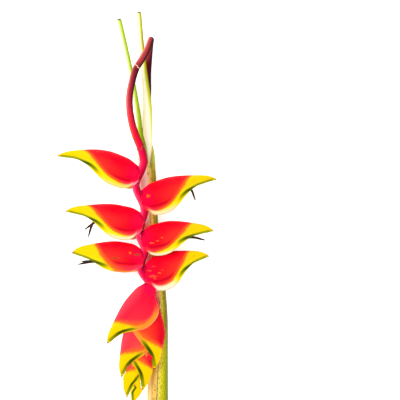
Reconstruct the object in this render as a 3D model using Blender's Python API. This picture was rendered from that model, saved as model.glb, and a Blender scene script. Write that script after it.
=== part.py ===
"""A cut stem of hanging heliconia, laid on its side with its flower head folded down over the stem.

Two leaves, each a rolled sheath that runs up into a cut leaf stalk, are wrapped round one flower stalk. The
flower stalk leaves the mouth of the inner sheath, bends over through half a turn and zigzags back down over
the stem. At each zigzag it carries a folded, boat-shaped bract, keel outwards and open side towards the tip
of the head. Six bracts stand open and hold florets, and six still lie nested in the bud.

Lengths are in millimetres. +Y runs along the stem from its cut end to the cut leaf stalks, +X to the right
as seen from above, and +Z up from the surface. The origin is on the flat under the stem where it rests.
"""

import math

import bmesh
import bpy
import numpy as np

for old in list(bpy.data.objects):
    bpy.data.objects.remove(old)

MM = 0.001
GAP = 0.35
UP = np.array([0.0, 0.0, 1.0])
HEAD_UP = np.array([0.0, -0.0514, 1.0])

# Stem: radius of the whole bundle and its axis in plan, from the cut end to where the outer leaf leaves it.
STEM_AXIS = [(6.5, -238.0), (6.6, -150.0), (7.0, -60.0), (6.7, -30.0), (4.8, -10.0), (-1.5, 30.0), (-3.4, 60.0),
             (-5.0, 95.0), (-7.5, 150.0)]
STEM_RADIUS = [(-238.0, 13.6), (-150.0, 12.9), (-60.0, 12.2), (0.0, 11.7), (95.0, 11.0), (150.0, 10.6)]
REST_ANGLE = math.radians(18)
CORE_RADIUS = [(-238.0, 5.0), (0.0, 4.6), (150.0, 4.2), (240.0, 3.9), (300.0, 3.7)]
SHEATH_SHARE = 0.48

# Flower stalk above the sheaths: (x, y, z) through the bend and back down to the first bract.
BEND = [
    (-6.3, 200.0, 9.6),
    (-5.6, 237.0, 8.6),
    (-5.7, 262.0, 8.2),
    (-4.8, 277.0, 8.8),
    (-3.7, 289.0, 12.0),
    (-2.2, 299.0, 20.5),
    (-1.5, 300.4, 31.0),
    (-3.4, 293.5, 40.0),
    (-7.2, 284.0, 44.0),
    (-12.3, 275.0, 45.3),
    (-18.0, 266.0, 45.7),
    (-23.8, 249.5, 46.0),
    (-27.7, 228.0, 45.5),
    (-26.0, 202.5, 43.5),
    (-20.3, 181.0, 41.5),
    (-14.0, 165.5, 40.0),
]
ZIGZAG = [
    (-10.0, 149.0, 39.0),
    (-20.0, 119.0, 38.5),
    (-9.3, 85.0, 39.0),
    (-16.8, 60.0, 39.5),
    (-8.8, 35.5, 40.0),
    (-14.6, 15.5, 40.5),
    (-2.0, -8.0, 41.0),
    (1.3, -25.0, 40.3),
    (-6.0, -39.0, 39.6),
    (-8.8, -52.5, 38.9),
    (-13.0, -73.0, 37.9),
    (-19.5, -90.0, 37.0),
    (-21.0, -98.0, 36.6),
]
BEND_RADIUS = [(0.0, 3.9), (0.2, 3.7), (0.35, 4.0), (0.6, 4.2), (0.85, 4.4), (1.0, 5.0)]
ZIGZAG_RADIUS = [(0.0, 5.0), (0.55, 4.4), (0.66, 3.7), (0.8, 2.4), (0.95, 1.2), (1.0, 0.8)]
SCARS = [(-18.0, 266.0, 45.7), (-14.0, 165.5, 40.0)]
SCAR_HEIGHT = 0.55

# Leaf sheaths that run up into leaf stalks: (x, y, z, outer radius, channel radius, wrap, side that is open).
# The wrap and the open side are in degrees, and 0 is up, 90 towards +X.
OUTER_LEAF = [
    (-8.3, 163.0, 9.9, 10.0, 7.2, 300.0, 40.0),
    (-9.8, 174.0, 9.0, 8.2, 5.2, 245.0, 62.0),
    (-12.8, 186.0, 7.8, 6.0, 3.2, 210.0, 80.0),
    (-16.6, 201.0, 6.0, 4.4, 1.8, 215.0, 115.0),
    (-21.0, 224.0, 4.7, 3.7, 1.4, 225.0, 135.0),
    (-28.1, 263.0, 3.9, 3.2, 1.3, 230.0, 140.0),
    (-43.3, 331.0, 3.8, 3.4, 1.3, 230.0, 140.0),
]
INNER_LEAF = [
    (-7.2, 176.0, 9.9, 6.6, 4.5, 330.0, 190.0),
    (-6.5, 200.0, 9.8, 5.9, 4.3, 315.0, 172.0),
    (-6.6, 219.0, 10.4, 5.4, 3.8, 275.0, 160.0),
    (-7.5, 234.0, 12.0, 4.9, 3.0, 238.0, 155.0),
    (-8.8, 247.0, 13.8, 4.5, 2.0, 212.0, 152.0),
    (-10.5, 263.0, 15.2, 4.2, 1.5, 198.0, 150.0),
    (-12.9, 285.0, 15.6, 3.9, 1.4, 192.0, 150.0),
    (-17.5, 338.5, 15.0, 3.7, 1.4, 190.0, 150.0),
]
SHEATH_WRAP = 350.0
OUTER_SLIT = [(-238.0, -12.0), (-150.0, -12.0), (0.0, 20.0), (150.0, 24.0)]
INNER_SLIT = 205.0
SHEATH_STATIONS = [-238.0, -200.0, -150.0, -100.0, -50.0, 0.0, 50.0, 100.0, 135.0]

# One bract seen from the side, as shares of its length: keel and lip above and below the line from base to
# tip, and half its thickness as a share of the widest place.
KEEL_LINE = [(0, 0.137), (0.15, 0.185), (0.34, 0.192), (0.48, 0.178), (0.61, 0.152), (0.74, 0.121),
             (0.87, 0.085), (0.95, 0.048), (1, 0.006)]
RIGHT_BUD_KEEL = [(0, 0.075), (0.06, 0.083), (0.12, 0.098), (0.2, 0.123), (0.3, 0.151), (0.4, 0.169),
                  (0.48, 0.177), (0.61, 0.156), (0.74, 0.121), (0.87, 0.085), (0.95, 0.048), (1, 0.006)]
OPEN_LIP = [(0, 0.135), (0.035, 0.178), (0.08, 0.208), (0.12, 0.22), (0.17, 0.227), (0.22, 0.227), (0.28, 0.22),
            (0.33, 0.206), (0.38, 0.183), (0.44, 0.15), (0.5, 0.115), (0.56, 0.085), (0.62, 0.062), (0.7, 0.036),
            (0.8, 0.014), (0.9, 0.009), (1, 0.004)]
BUD_LIP = [(0, 0.06), (0.04, 0.094), (0.09, 0.165), (0.15, 0.248), (0.21, 0.285), (0.28, 0.302), (0.36, 0.3),
           (0.44, 0.283), (0.51, 0.25), (0.56, 0.205), (0.61, 0.167), (0.66, 0.125), (0.71, 0.09), (0.76, 0.062),
           (0.82, 0.042), (0.9, 0.026), (0.95, 0.018), (1, 0.004)]
OPEN_BULGE = [(0, 0.42), (0.08, 0.62), (0.2, 0.9), (0.32, 1.0), (0.45, 0.93), (0.6, 0.64), (0.75, 0.36),
              (0.88, 0.19), (0.96, 0.1), (1, 0.03)]
BUD_BULGE = [(0, 0.45), (0.08, 0.68), (0.2, 0.93), (0.35, 1.0), (0.5, 0.97), (0.62, 0.84), (0.75, 0.52),
             (0.88, 0.25), (0.96, 0.12), (1, 0.03)]
# Half of one cross-section, keel to lip: share of the depth, then of the half thickness, open and closed.
OPEN_SECTION = [(0, 0), (0.06, 0.42), (0.26, 0.84), (0.5, 1.0), (0.72, 0.85), (0.86, 0.9), (1, 1.0)]
BUD_SECTION = [(0, 0), (0.06, 0.42), (0.26, 0.84), (0.5, 1.0), (0.72, 0.98), (0.86, 0.94), (1, 0.9)]
BEAK_SECTION = [(0, 0), (0.1, 0.5), (0.3, 0.88), (0.5, 1.0), (0.7, 0.9), (0.86, 0.7), (1, 0.42)]
OPEN_CLOSING = (0.5, 0.75)
BUD_CLOSING = (0.62, 0.85)
BRACT_STATIONS = [0, 0.06, 0.14, 0.24, 0.34, 0.44, 0.53, 0.62, 0.72, 0.82, 0.91, 0.97]
CAVITY_END = (0.82, 0.91)
OPEN_WALL = 1.5
BUD_WALL = 1.1
NEST_STEP = 1.8
NEST_GAP = 1.0
NEST_EDGE = 0.4
NEST_FLARE = 0.4
BEAK_FLARE = 2.0
EDGE_SLOPE = 0.7

# name, side the tip points to, base, tip, widest half thickness, keel gain, lip gain, arch, lip reach.
BRACTS = [
    ("bract_01_left", -1, (-19.4, 130.6, 38.5), (-122.0, 155.8, 0.9), 16.5, 0.78, 0.845, 0.05, -0.04),
    ("bract_02_right", 1, (-9.8, 98.8, 38.8), (80.8, 126.4, 0.9), 15.5, 0.98, 0.96, 0.01, -0.1),
    ("bract_03_left", -1, (-14.6, 70.0, 39.3), (-110.8, 85.5, 1.5), 15.5, 0.97, 0.925, 0.0, -0.07),
    ("bract_04_right", 1, (-8.5, 45.0, 39.8), (77.1, 60.7, 1.5), 14.0, 1.27, 0.77, 0.0, -0.16),
    ("bract_05_left", -1, (-13.8, 23.1, 40.3), (-102.6, 33.2, 3.0), 14.5, 1.17, 0.68, 0.0, 0.22),
    ("bract_06_right", 1, (-4.0, 3.2, 40.7), (71.4, 28.7, 5.0), 13.0, 1.39, 1.05, 0.0, -0.08),
    ("bract_07_bud", -1, (0.0, -11.3, 41.0), (-55.6, -79.4, 37.5), 14.5, 1.0, 1.0, 0.0, 0.0),
    ("bract_08_bud", 1, (1.3, -25.0, 40.3), (2.5, -111.9, 35.83), 12.0, 0.95, 1.04, 0.0, 0.0),
    ("bract_09_bud", -1, (-6.3, -38.8, 39.59), (-38.1, -121.3, 35.35), 10.0, 1.06, 0.98, 0.0, 0.0),
    ("bract_10_bud", 1, (-8.8, -52.5, 38.88), (-11.9, -137.5, 34.51), 8.2, 1.08, 0.94, 0.0, 0.0),
    ("bract_11_bud", -1, (-12.5, -75.0, 37.73), (-31.3, -146.9, 34.03), 6.4, 1.12, 0.92, 0.0, 0.0),
    ("bract_12_bud", 1, (-19.5, -91.0, 36.9), (-25.0, -155.0, 33.61), 4.8, 1.4, 0.9, 0.0, 0.0),
]
OPEN_BRACTS = 6
RIGHT_BUDS = BRACTS[OPEN_BRACTS + 1::2]

# Florets in each open bract: where each crosses the lip and where its withered end lies, as shares of the
# bract's length along it, beyond the lip side of its middle line, and across it.
FLORETS = {
    "bract_01_left": [((0.36, 0.08, 0.03), (0.46, 0.05, 0.04)), ((0.4, 0.04, -0.03), (0.5, 0.0, -0.02))],
    "bract_02_right": [((0.63, 0.03, 0.01), (0.64, 0.175, 0.03)), ((0.4, 0.06, -0.04), (0.5, 0.05, -0.05))],
    "bract_03_left": [((0.6, 0.07, 0.015), (0.64, 0.255, 0.03)), ((0.58, 0.06, -0.03), (0.73, 0.18, -0.035))],
    "bract_04_right": [((0.68, 0.03, 0.01), (0.84, 0.095, 0.03)), ((0.42, 0.05, -0.04), (0.52, 0.03, -0.05))],
    "bract_05_left": [((0.7, 0.085, 0.02), (0.88, 0.14, 0.03)), ((0.68, 0.08, -0.03), (0.86, 0.1, -0.02))],
    "bract_06_right": [((0.36, 0.14, 0.03), (0.48, 0.12, 0.04)), ((0.4, 0.06, -0.03), (0.54, 0.05, -0.03))],
}
FLORET_RADIUS = [(0, 2.4), (0.35, 2.2), (0.6, 1.8), (0.75, 1.4), (0.9, 1.2), (1, 0.5)]

COLOURS = {
    "leaf_outer": (0.42, 0.55, 0.10),
    "leaf_inner": (0.50, 0.55, 0.08),
    "flower_stalk": (0.60, 0.05, 0.09),
    "bract_red": (0.85, 0.02, 0.04),
    "bract_bud": (0.90, 0.30, 0.03),
    "floret": (0.45, 0.42, 0.10),
}
ROUGHNESS = {"leaf_outer": 0.45, "leaf_inner": 0.45, "flower_stalk": 0.6, "bract_red": 0.35, "bract_bud": 0.35,
             "floret": 0.6}


def value_along(knots, at):
    """A smooth curve through (position, value) knots that doesn't swing past them."""
    x, y = np.array(knots, float).T
    step = np.diff(x)
    rise = np.diff(y) / step
    slope = np.zeros_like(y)
    slope[0], slope[-1] = rise[0], rise[-1]
    same = rise[:-1] * rise[1:] > 0
    slope[1:-1][same] = 2 * rise[:-1][same] * rise[1:][same] / (rise[:-1] + rise[1:])[same]
    at = np.clip(np.asarray(at, float), x[0], x[-1])
    i = np.clip(np.searchsorted(x, at) - 1, 0, len(step) - 1)
    t = (at - x[i]) / step[i]
    return (
        y[i] * (1 + 2 * t) * (1 - t) ** 2
        + slope[i] * step[i] * t * (1 - t) ** 2
        + y[i + 1] * t * t * (3 - 2 * t)
        + slope[i + 1] * step[i] * t * t * (t - 1)
    )


def curve_through(points, spacing):
    """Points about this far apart on a smooth curve through the given ones, and their share of its length."""
    points = np.array(points, float)
    chord = np.concatenate([[0], np.cumsum(np.linalg.norm(np.diff(points, axis=0), axis=1))])
    tangent = np.gradient(points, chord, axis=0)
    fine = np.linspace(0, chord[-1], 40 * len(points))
    i = np.clip(np.searchsorted(chord, fine) - 1, 0, len(chord) - 2)
    h = (chord[i + 1] - chord[i])[:, None]
    t = (fine[:, None] - chord[i][:, None]) / h
    line = (
        points[i] * (1 + 2 * t) * (1 - t) ** 2
        + tangent[i] * h * t * (1 - t) ** 2
        + points[i + 1] * t * t * (3 - 2 * t)
        + tangent[i + 1] * h * t * t * (t - 1)
    )
    run = np.concatenate([[0], np.cumsum(np.linalg.norm(np.diff(line, axis=0), axis=1))])
    share = np.linspace(0, 1, max(2, round(run[-1] / spacing) + 1))
    return np.stack([np.interp(share * run[-1], run, line[:, k]) for k in range(3)], axis=1), share


def unit(vector):
    return vector / np.linalg.norm(vector)


def material(kind):
    made = bpy.data.materials.get(kind)
    if made is None:
        made = bpy.data.materials.new(kind)
        made.use_nodes = True
        shader = made.node_tree.nodes["Principled BSDF"]
        shader.inputs["Base Color"].default_value = (*COLOURS[kind], 1)
        shader.inputs["Roughness"].default_value = ROUGHNESS[kind]
        shader.inputs["Metallic"].default_value = 0.0
    return made


def solid(name, kind, points, faces):
    """An object from points in millimetres, with its faces turned outwards."""
    mesh = bpy.data.meshes.new(name)
    mesh.from_pydata([tuple(p * MM) for p in points], [], faces)
    shape = bmesh.new()
    shape.from_mesh(mesh)
    bmesh.ops.recalc_face_normals(shape, faces=shape.faces)
    bmesh.ops.triangulate(shape, faces=shape.faces)
    shape.to_mesh(mesh)
    shape.free()
    mesh.shade_smooth()
    mesh.set_sharp_from_angle(angle=math.radians(50))
    mesh.materials.append(material(kind))
    made = bpy.data.objects.new(name, mesh)
    bpy.context.scene.collection.objects.link(made)
    return made


def ring_faces(rings, size, first=0):
    """Four-sided faces between rings of points that follow each other."""
    return [
        (first + r * size + j, first + r * size + (j + 1) % size,
         first + (r + 1) * size + (j + 1) % size, first + (r + 1) * size + j)
        for r in range(rings - 1)
        for j in range(size)
    ]


def tube(name, kind, path, radii, sides=10):
    """A round rod along a path, closed at both ends."""
    tangent = np.gradient(path, axis=0)
    side = unit(np.cross(tangent[0], UP))
    points = []
    for centre, along, radius in zip(path, tangent, radii):
        along = unit(along)
        side = unit(side - along * (side @ along))
        other = np.cross(along, side)
        for k in range(sides):
            angle = 2 * math.pi * (k + 0.5) / sides
            points.append(centre + radius * (math.cos(angle) * side + math.sin(angle) * other))
    last = (len(path) - 1) * sides
    faces = ring_faces(len(path), sides)
    faces += [tuple(range(sides))[::-1], tuple(last + k for k in range(sides))]
    return solid(name, kind, points, faces)


def folded(name, kind, outer, inner, apex=None):
    """A wall that is open along one side, from its outer and inner lines at each station. It ends in a rim, or at
    an apex."""
    size = outer.shape[1]
    rings = np.concatenate([outer, inner[:, ::-1]], axis=1)
    points = list(rings.reshape(-1, 3))
    faces = ring_faces(len(rings), 2 * size)
    last = (len(rings) - 1) * 2 * size
    for j in range(size - 1):
        faces.append((j, j + 1, 2 * size - 2 - j, 2 * size - 1 - j))
        if apex is None:
            faces.append((last + j, last + j + 1, last + 2 * size - 2 - j, last + 2 * size - 1 - j))
    if apex is not None:
        points.append(np.array(apex, float))
        faces += [(last + j, last + (j + 1) % (2 * size), len(points) - 1) for j in range(2 * size)]
    return solid(name, kind, points, faces)


def cut(piece, cutter, solver="EXACT"):
    """Takes the cutter's shape out of a piece with a Boolean that stays live."""
    made = piece.modifiers.new("cut_" + cutter.name, "BOOLEAN")
    made.operation = "DIFFERENCE"
    made.solver = solver
    made.object = cutter


def as_cutter(shape):
    shape.hide_render = True
    shape.display_type = "WIRE"
    return shape


def stem_at(y):
    """Centre and radius of the bundle at a place along it. It rests on a flat that spans twice REST_ANGLE."""
    x = value_along([(b, a) for a, b in STEM_AXIS], y)
    radius = value_along(STEM_RADIUS, y)
    return np.array([x, y, radius * math.cos(REST_ANGLE)]), radius


def stalk_path():
    """Centres and radii of the flower stalk, from the cut end to the last bract of the bud."""
    core = [stem_at(y)[0] for _, y in STEM_AXIS]
    core_radii = [value_along(CORE_RADIUS, c[1]) for c in core]
    upper, share = curve_through([core[-1], *BEND, *ZIGZAG], 6.5)
    bend_end = int(np.argmin(np.linalg.norm(upper - np.array(BEND[-1]), axis=1)))
    radii = np.empty(len(upper))
    radii[:bend_end] = value_along(BEND_RADIUS, np.linspace(0, 1, bend_end))
    radii[bend_end:] = value_along(ZIGZAG_RADIUS, np.linspace(0, 1, len(upper) - bend_end))
    for scar in SCARS:
        radii[int(np.argmin(np.linalg.norm(upper - np.array(scar), axis=1)))] += SCAR_HEIGHT
    return np.array([*core[:-1], *upper]), np.array([*core_radii[:-1], *radii])


def channel_lines(stations, count):
    """Outer and inner lines of a rolled sheath or grooved leaf stalk at each (x, y, z, outer radius, channel
    radius, wrap, open side). What would dip below the surface is flattened onto it."""
    centres = np.array([s[:3] for s in stations], float)
    tangents = np.gradient(centres, axis=0)
    outer, inner = [], []
    for centre, along, (outside, inside, wrap, opening) in zip(centres, tangents, [s[3:] for s in stations]):
        across = unit(np.cross(along, UP))
        up = unit(np.cross(across, along))
        angles = np.radians(opening + np.linspace(180 - wrap / 2, 180 + wrap / 2, count))
        spokes = np.sin(angles)[:, None] * across + np.cos(angles)[:, None] * up
        outer.append(centre + outside * spokes)
        inner.append(centre + inside * spokes)
    outer, inner = np.array(outer), np.array(inner)
    outer[..., 2] = np.maximum(outer[..., 2], 0)
    return outer, inner


def sheath_stations(inner_leaf):
    """Stations of the rolled part of a leaf, where it is one of two tubes round the stalk."""
    made = []
    for y in SHEATH_STATIONS:
        centre, radius = stem_at(y)
        core = value_along(CORE_RADIUS, y)
        between = core + (radius - core) * SHEATH_SHARE
        if inner_leaf:
            made.append((*centre, between - GAP, core + 2 * GAP, SHEATH_WRAP, INNER_SLIT))
        else:
            made.append((*centre, radius, between, SHEATH_WRAP, float(value_along(OUTER_SLIT, y))))
    return made


def leaves(stalk_cutter):
    """The two leaves. Each is cut clear of what it wraps."""
    inner_line = np.array([*sheath_stations(True), *INNER_LEAF])
    outer_line = np.array([*sheath_stations(False), *OUTER_LEAF])
    inner = folded("leaf_inner", "leaf_inner", *channel_lines(inner_line, 14))
    outer = folded("leaf_outer", "leaf_outer", *channel_lines(outer_line, 20))
    cut(inner, stalk_cutter)
    filled = inner_line[len(SHEATH_STATIONS) - 1:]
    core = tube("inner_leaf_space", "leaf_inner", filled[:, :3], filled[:, 3] + GAP, 14)
    cut(outer, as_cutter(core))
    return inner, outer


def bract_frame(base, tip, side):
    """Length of a bract and its directions: along it, towards its lip, and across it towards the viewer."""
    base, tip = np.array(base, float), np.array(tip, float)
    length = np.linalg.norm(tip - base)
    along = (tip - base) / length
    across = unit(HEAD_UP - along * (HEAD_UP @ along))
    return base, length, along, -side * np.cross(across, along), across


def bract_section(spec, s, opened):
    """At a share of a bract's length: how far keel and lip are from its middle line, and the shares of the depth
    and the half thicknesses of half a cross-section."""
    _, _, base, tip, thickness, keel_gain, lip_gain, arch, reach = spec
    length = np.linalg.norm(np.subtract(tip, base))
    lips = OPEN_LIP if opened else BUD_LIP
    keels = RIGHT_BUD_KEEL if spec in RIGHT_BUDS else KEEL_LINE
    lift = arch * math.sin(math.pi * s)
    keel = length * (keel_gain * value_along(keels, s) + lift)
    lip = length * (lip_gain * value_along(lips, s * (1 - reach)) - lift)
    spread = np.array(OPEN_SECTION if opened else BUD_SECTION, float)
    start, end = OPEN_CLOSING if opened else BUD_CLOSING
    closing = min(max((s - start) / (end - start), 0.0), 1.0)
    depth, width = (spread * (1 - closing) + np.array(BEAK_SECTION, float) * closing).T
    return keel, lip, depth, width * thickness * value_along(OPEN_BULGE if opened else BUD_BULGE, s)


def lining(s, keel, lip, half, wall):
    """How much the inside of a fold is shrunk from its outside, towards the lip and towards the middle. The beak is
    solid."""
    start, end = CAVITY_END
    deep = (1 - min(1.5 * wall / (keel + lip), 0.6)) * min(max((end - s) / (end - start), 0), 1)
    return deep, 1 - min(wall / half.max(), 0.7)


def room_at(point, around):
    """Half thickness that the bracts folded round a point of the bud's plane leave there. Below nothing, the
    point is in the keel or the beak of one of them."""
    room = math.inf
    for spec in around:
        base, length, along, down, _ = bract_frame(spec[2], spec[3], spec[1])
        s = (point - base) @ along / length
        if not 0 <= s <= 1:
            continue
        keel, lip, depth, half = bract_section(spec, s, False)
        deep, wide = lining(s, keel, lip, half, BUD_WALL)
        share = ((point - base) @ down + keel) / (keel + lip)
        free = np.interp(1 - (1 - share) / max(deep, 0.001), depth, half * wide) - NEST_GAP
        if share > 1:
            flare = NEST_FLARE if s < CAVITY_END[0] else BEAK_FLARE
            room = min(room, free + flare * (share - 1) * (keel + lip))
        else:
            room = min(room - NEST_STEP, free)
    return room


def inset(point, toward, around):
    """How far a point has to move until the bracts folded round it leave it some room."""
    for step in range(100):
        if room_at(point + toward * step * 0.25, around) > NEST_EDGE:
            break
    return step * 0.25


def eased(edge, steps):
    """The same edge, drawn in where it would run out faster than this along the bract."""
    for i in range(1, len(edge)):
        edge[i] = min(edge[i], edge[i - 1] + EDGE_SLOPE * steps[i - 1])
    for i in range(len(edge) - 2, -1, -1):
        edge[i] = min(edge[i], edge[i + 1] + EDGE_SLOPE * steps[i])
    return edge


def bract_lines(spec, stations, opened, around=(), swell=0.0):
    """Outer and inner lines of a folded bract at each share of its length. For the space it needs, the walls
    swell outwards and into the fold."""
    base, length, along, down, across = bract_frame(spec[2], spec[3], spec[1])
    outer, inner = [], []
    keels, lips = np.array([bract_section(spec, s, opened)[:2] for s in stations]).T
    if around:
        centres = base + np.outer(stations, along) * length
        keels -= [inset(centre - keel * down, down, around) for centre, keel in zip(centres, keels)]
        lips -= [inset(centre + lip * down, -down, around) for centre, lip in zip(centres, lips)]
        steps = np.diff(stations) * length
        keels, lips = eased(keels, steps), eased(lips, steps)
    for s, keel, lip in zip(stations, keels, lips):
        depth, half = bract_section(spec, s, opened)[2:]
        centre = base + along * length * s
        room = [room_at(centre + down * (lip - (keel + lip) * (1 - d)), around) for d in depth]
        half = np.minimum(half, np.maximum(room, NEST_EDGE))
        deep, wide = lining(s, keel, lip, half, OPEN_WALL if opened else BUD_WALL)
        middle = centre + np.outer(-keel - swell + (keel + lip + 2 * swell) * depth, down)
        offset = np.outer(half + swell, across)
        outer.append(np.concatenate([(middle - offset)[:0:-1], middle + offset]))
        floor = (keel + lip) * deep
        lined = centre + np.outer(lip + swell - floor * (1 - depth), down)
        offset = np.outer(np.maximum(half * wide - swell, 0.04 * np.sign(half)), across)
        if s < CAVITY_END[0 if swell else 1]:
            inner.append(np.concatenate([(lined - offset)[:0:-1], lined + offset]))
        else:
            inner.append(np.linspace((lined - offset)[-1], (lined + offset)[-1], 2 * len(depth) - 1))
    return np.array(outer), np.array(inner)


def floret_path(spec, crossing, end):
    """A floret's line from the stalk, down inside the bract to where it crosses the lip, and to its tip."""
    base, length, along, down, across = bract_frame(spec[2], spec[3], spec[1])

    def place(shares):
        return base + length * (shares[0] * along + shares[1] * down + shares[2] * across)

    root = place((0.0, 0.03, 0.0))
    middle = place((0.25, 0.08, crossing[2]))
    return curve_through([root, middle, place(crossing), place(end)], 11.0)


def fuse(pieces, name):
    """One body from several that overlap."""
    first, *others = pieces
    first.name = name
    for other in others:
        joined = first.modifiers.new("join", "BOOLEAN")
        joined.operation = "UNION"
        joined.object = other
    if others:
        graph = bpy.context.evaluated_depsgraph_get()
        mesh = bpy.data.meshes.new_from_object(first.evaluated_get(graph))
        first.modifiers.clear()
        first.data = mesh
        for other in others:
            bpy.data.objects.remove(other)
    return first


path, radii = stalk_path()
tube("flower_stalk", "flower_stalk", path, radii)
stalk_space = as_cutter(tube("flower_stalk_space", "flower_stalk", path, radii + GAP))
leaves(stalk_space)
bud_spaces = []
for number, bract in enumerate(BRACTS):
    is_open = number < OPEN_BRACTS
    around = () if is_open else BRACTS[OPEN_BRACTS:number]
    lines = bract_lines(bract, BRACT_STATIONS, is_open, around)
    piece = folded(bract[0], "bract_red" if is_open else "bract_bud", *lines, apex=bract[3])
    cut(piece, stalk_space)
    for space in bud_spaces:
        cut(piece, space, "MANIFOLD")
    if is_open:
        tubes = []
        for k, (crossing, end) in enumerate(FLORETS[bract[0]]):
            line, share = floret_path(bract, crossing, end)
            tubes.append(tube(f"floret_{k}", "floret", line, value_along(FLORET_RADIUS, share), 6))
        florets = fuse(tubes, bract[0].replace("bract", "florets"))
        cut(florets, stalk_space)
    else:
        swollen = bract_lines(bract, BRACT_STATIONS, False, around, GAP)
        bud_spaces.append(as_cutter(folded(bract[0] + "_space", "bract_bud", *swollen, apex=bract[3])))
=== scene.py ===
"""The finished looks of a cut stem of hanging heliconia that lies on a pale floor, seen from above.

Places are in millimetres in the frame of the solids: +Y along the stem from its cut end to its cut leaf
stalks, +X to the right as seen from above, +Z up. They become metres where a mesh is made.
"""

import math
from collections import namedtuple

import bmesh
import bpy
import numpy as np
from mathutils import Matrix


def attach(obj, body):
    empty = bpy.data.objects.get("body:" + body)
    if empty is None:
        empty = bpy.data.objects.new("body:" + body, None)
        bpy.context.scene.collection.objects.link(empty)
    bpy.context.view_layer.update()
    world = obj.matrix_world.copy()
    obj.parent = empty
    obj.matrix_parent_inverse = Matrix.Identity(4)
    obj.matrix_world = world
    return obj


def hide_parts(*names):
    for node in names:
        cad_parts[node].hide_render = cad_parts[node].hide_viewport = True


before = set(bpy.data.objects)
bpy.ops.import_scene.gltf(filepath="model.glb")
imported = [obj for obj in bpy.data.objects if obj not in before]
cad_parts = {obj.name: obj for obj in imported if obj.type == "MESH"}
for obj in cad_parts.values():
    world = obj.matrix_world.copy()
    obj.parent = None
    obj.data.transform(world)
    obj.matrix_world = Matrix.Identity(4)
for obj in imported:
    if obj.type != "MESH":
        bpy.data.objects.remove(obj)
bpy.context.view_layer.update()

# Flower stalk. One solid, slightly hairy stalk: it runs up the middle of both leaf sheaths, leaves the
# inner one, turns over and zigzags back down as the axis of the flower head. It grew in one piece, and
# where two dry leaves fell off it keeps a ring-shaped scar.
MM = 0.001
# The stalk's middle line, in three runs: up the stem, over the bend and down the head. The radii go by
# the share of each run.
CORE = [
    (6.5, -238.0, 12.9), (6.6, -150.0, 12.3), (7.0, -60.0, 11.6), (6.7, -30.0, 11.4), (4.8, -10.0, 11.2),
    (-1.5, 30.0, 10.9), (-3.4, 60.0, 10.7), (-5.0, 95.0, 10.5), (-7.5, 150.0, 10.1),
]
BEND = [
    (-6.3, 200.0, 9.6), (-5.6, 237.0, 8.6), (-5.7, 262.0, 8.2), (-4.8, 277.0, 8.8), (-3.7, 289.0, 12.0),
    (-2.2, 299.0, 20.5), (-1.5, 300.4, 31.0), (-3.4, 293.5, 40.0), (-7.2, 284.0, 44.0),
    (-12.3, 275.0, 45.3), (-18.0, 266.0, 45.7), (-23.8, 249.5, 46.0), (-27.7, 228.0, 45.5),
    (-26.0, 202.5, 43.5), (-20.3, 181.0, 41.5), (-14.0, 165.5, 40.0),
]
ZIGZAG = [
    (-10.0, 149.0, 39.0), (-20.0, 119.0, 38.5), (-9.3, 85.0, 39.0), (-16.8, 60.0, 39.5),
    (-8.8, 35.5, 40.0), (-14.6, 15.5, 40.5), (-2.0, -8.0, 41.0), (1.3, -25.0, 40.3), (-6.0, -39.0, 39.6),
    (-8.8, -52.5, 38.9), (-13.0, -73.0, 37.9), (-19.5, -90.0, 37.0), (-21.0, -98.0, 36.6),
]
CORE_RADIUS = [(0, 5.0), (0.6, 4.6), (1, 4.2)]
BEND_RADIUS = [(0, 4.0), (0.2, 3.7), (0.35, 4.0), (0.6, 4.2), (0.85, 4.4), (1, 5.0)]
ZIGZAG_RADIUS = [(0, 5.0), (0.55, 4.4), (0.66, 3.7), (0.8, 2.4), (0.95, 1.2), (1, 0.8)]
STALK_STEP = 1.6
CORE_STEP = 6 * STALK_STEP
STALK_SIDES = 28
STALK_UNEVENNESS = 0.35
STALK_LUMPS = 140.0
STALK_RELIEF = 0.4
UPPER_SCAR = (-18.0, 266.0, 45.7)
LOWER_SCAR = (-14.0, 165.5, 40.0)
SCAR_POINTS = 40
SCAR_SHARPNESS = 1.3
SCAR_SETBACK = 0.2
SCAR_FOLLOWS_BEND = 0.7
SCAR_SIDES = 8
SCAR_UNEVENNESS = 0.6
SCAR_LUMPS = 700.0
SCAR_RELIEF = 0.5
SPOT_RAGGEDNESS = 5.0
SPOT_STRENGTH = 0.9
# Bruises on the stalk: place across and along, half width, half length and colour.
STALK_SPOTS = [
    (-24.1, 197.0, 1.0, 2.2, (0.10, 0.045, 0.012, 1.0)),
    (-21.4, 175.8, 1.2, 2.4, (0.10, 0.05, 0.012, 1.0)),
    (-19.0, 168.5, 1.2, 1.6, (0.16, 0.06, 0.012, 1.0)),
]


def between(t, start, end, start_slope, end_slope):
    """A smooth way from one value to the next, where t is the share of the way and the slopes are those
    at its ends."""
    return (
        start * (1 + 2 * t) * (1 - t) ** 2
        + start_slope * t * (1 - t) ** 2
        + end * t * t * (3 - 2 * t)
        + end_slope * t * t * (t - 1)
    )


def value_along(knots, at):
    """A smooth curve through (position, value) knots that doesn't swing past them."""
    x, y = np.array(knots, float).T
    step = np.diff(x)
    rise = np.diff(y) / step
    slope = np.zeros_like(y)
    slope[0], slope[-1] = rise[0], rise[-1]
    same = rise[:-1] * rise[1:] > 0
    slope[1:-1][same] = 2 * rise[:-1][same] * rise[1:][same] / (rise[:-1] + rise[1:])[same]
    at = np.clip(np.asarray(at, float), x[0], x[-1])
    i = np.clip(np.searchsorted(x, at) - 1, 0, len(step) - 1)
    t = (at - x[i]) / step[i]
    return between(t, y[i], y[i + 1], slope[i] * step[i], slope[i + 1] * step[i])


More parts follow.
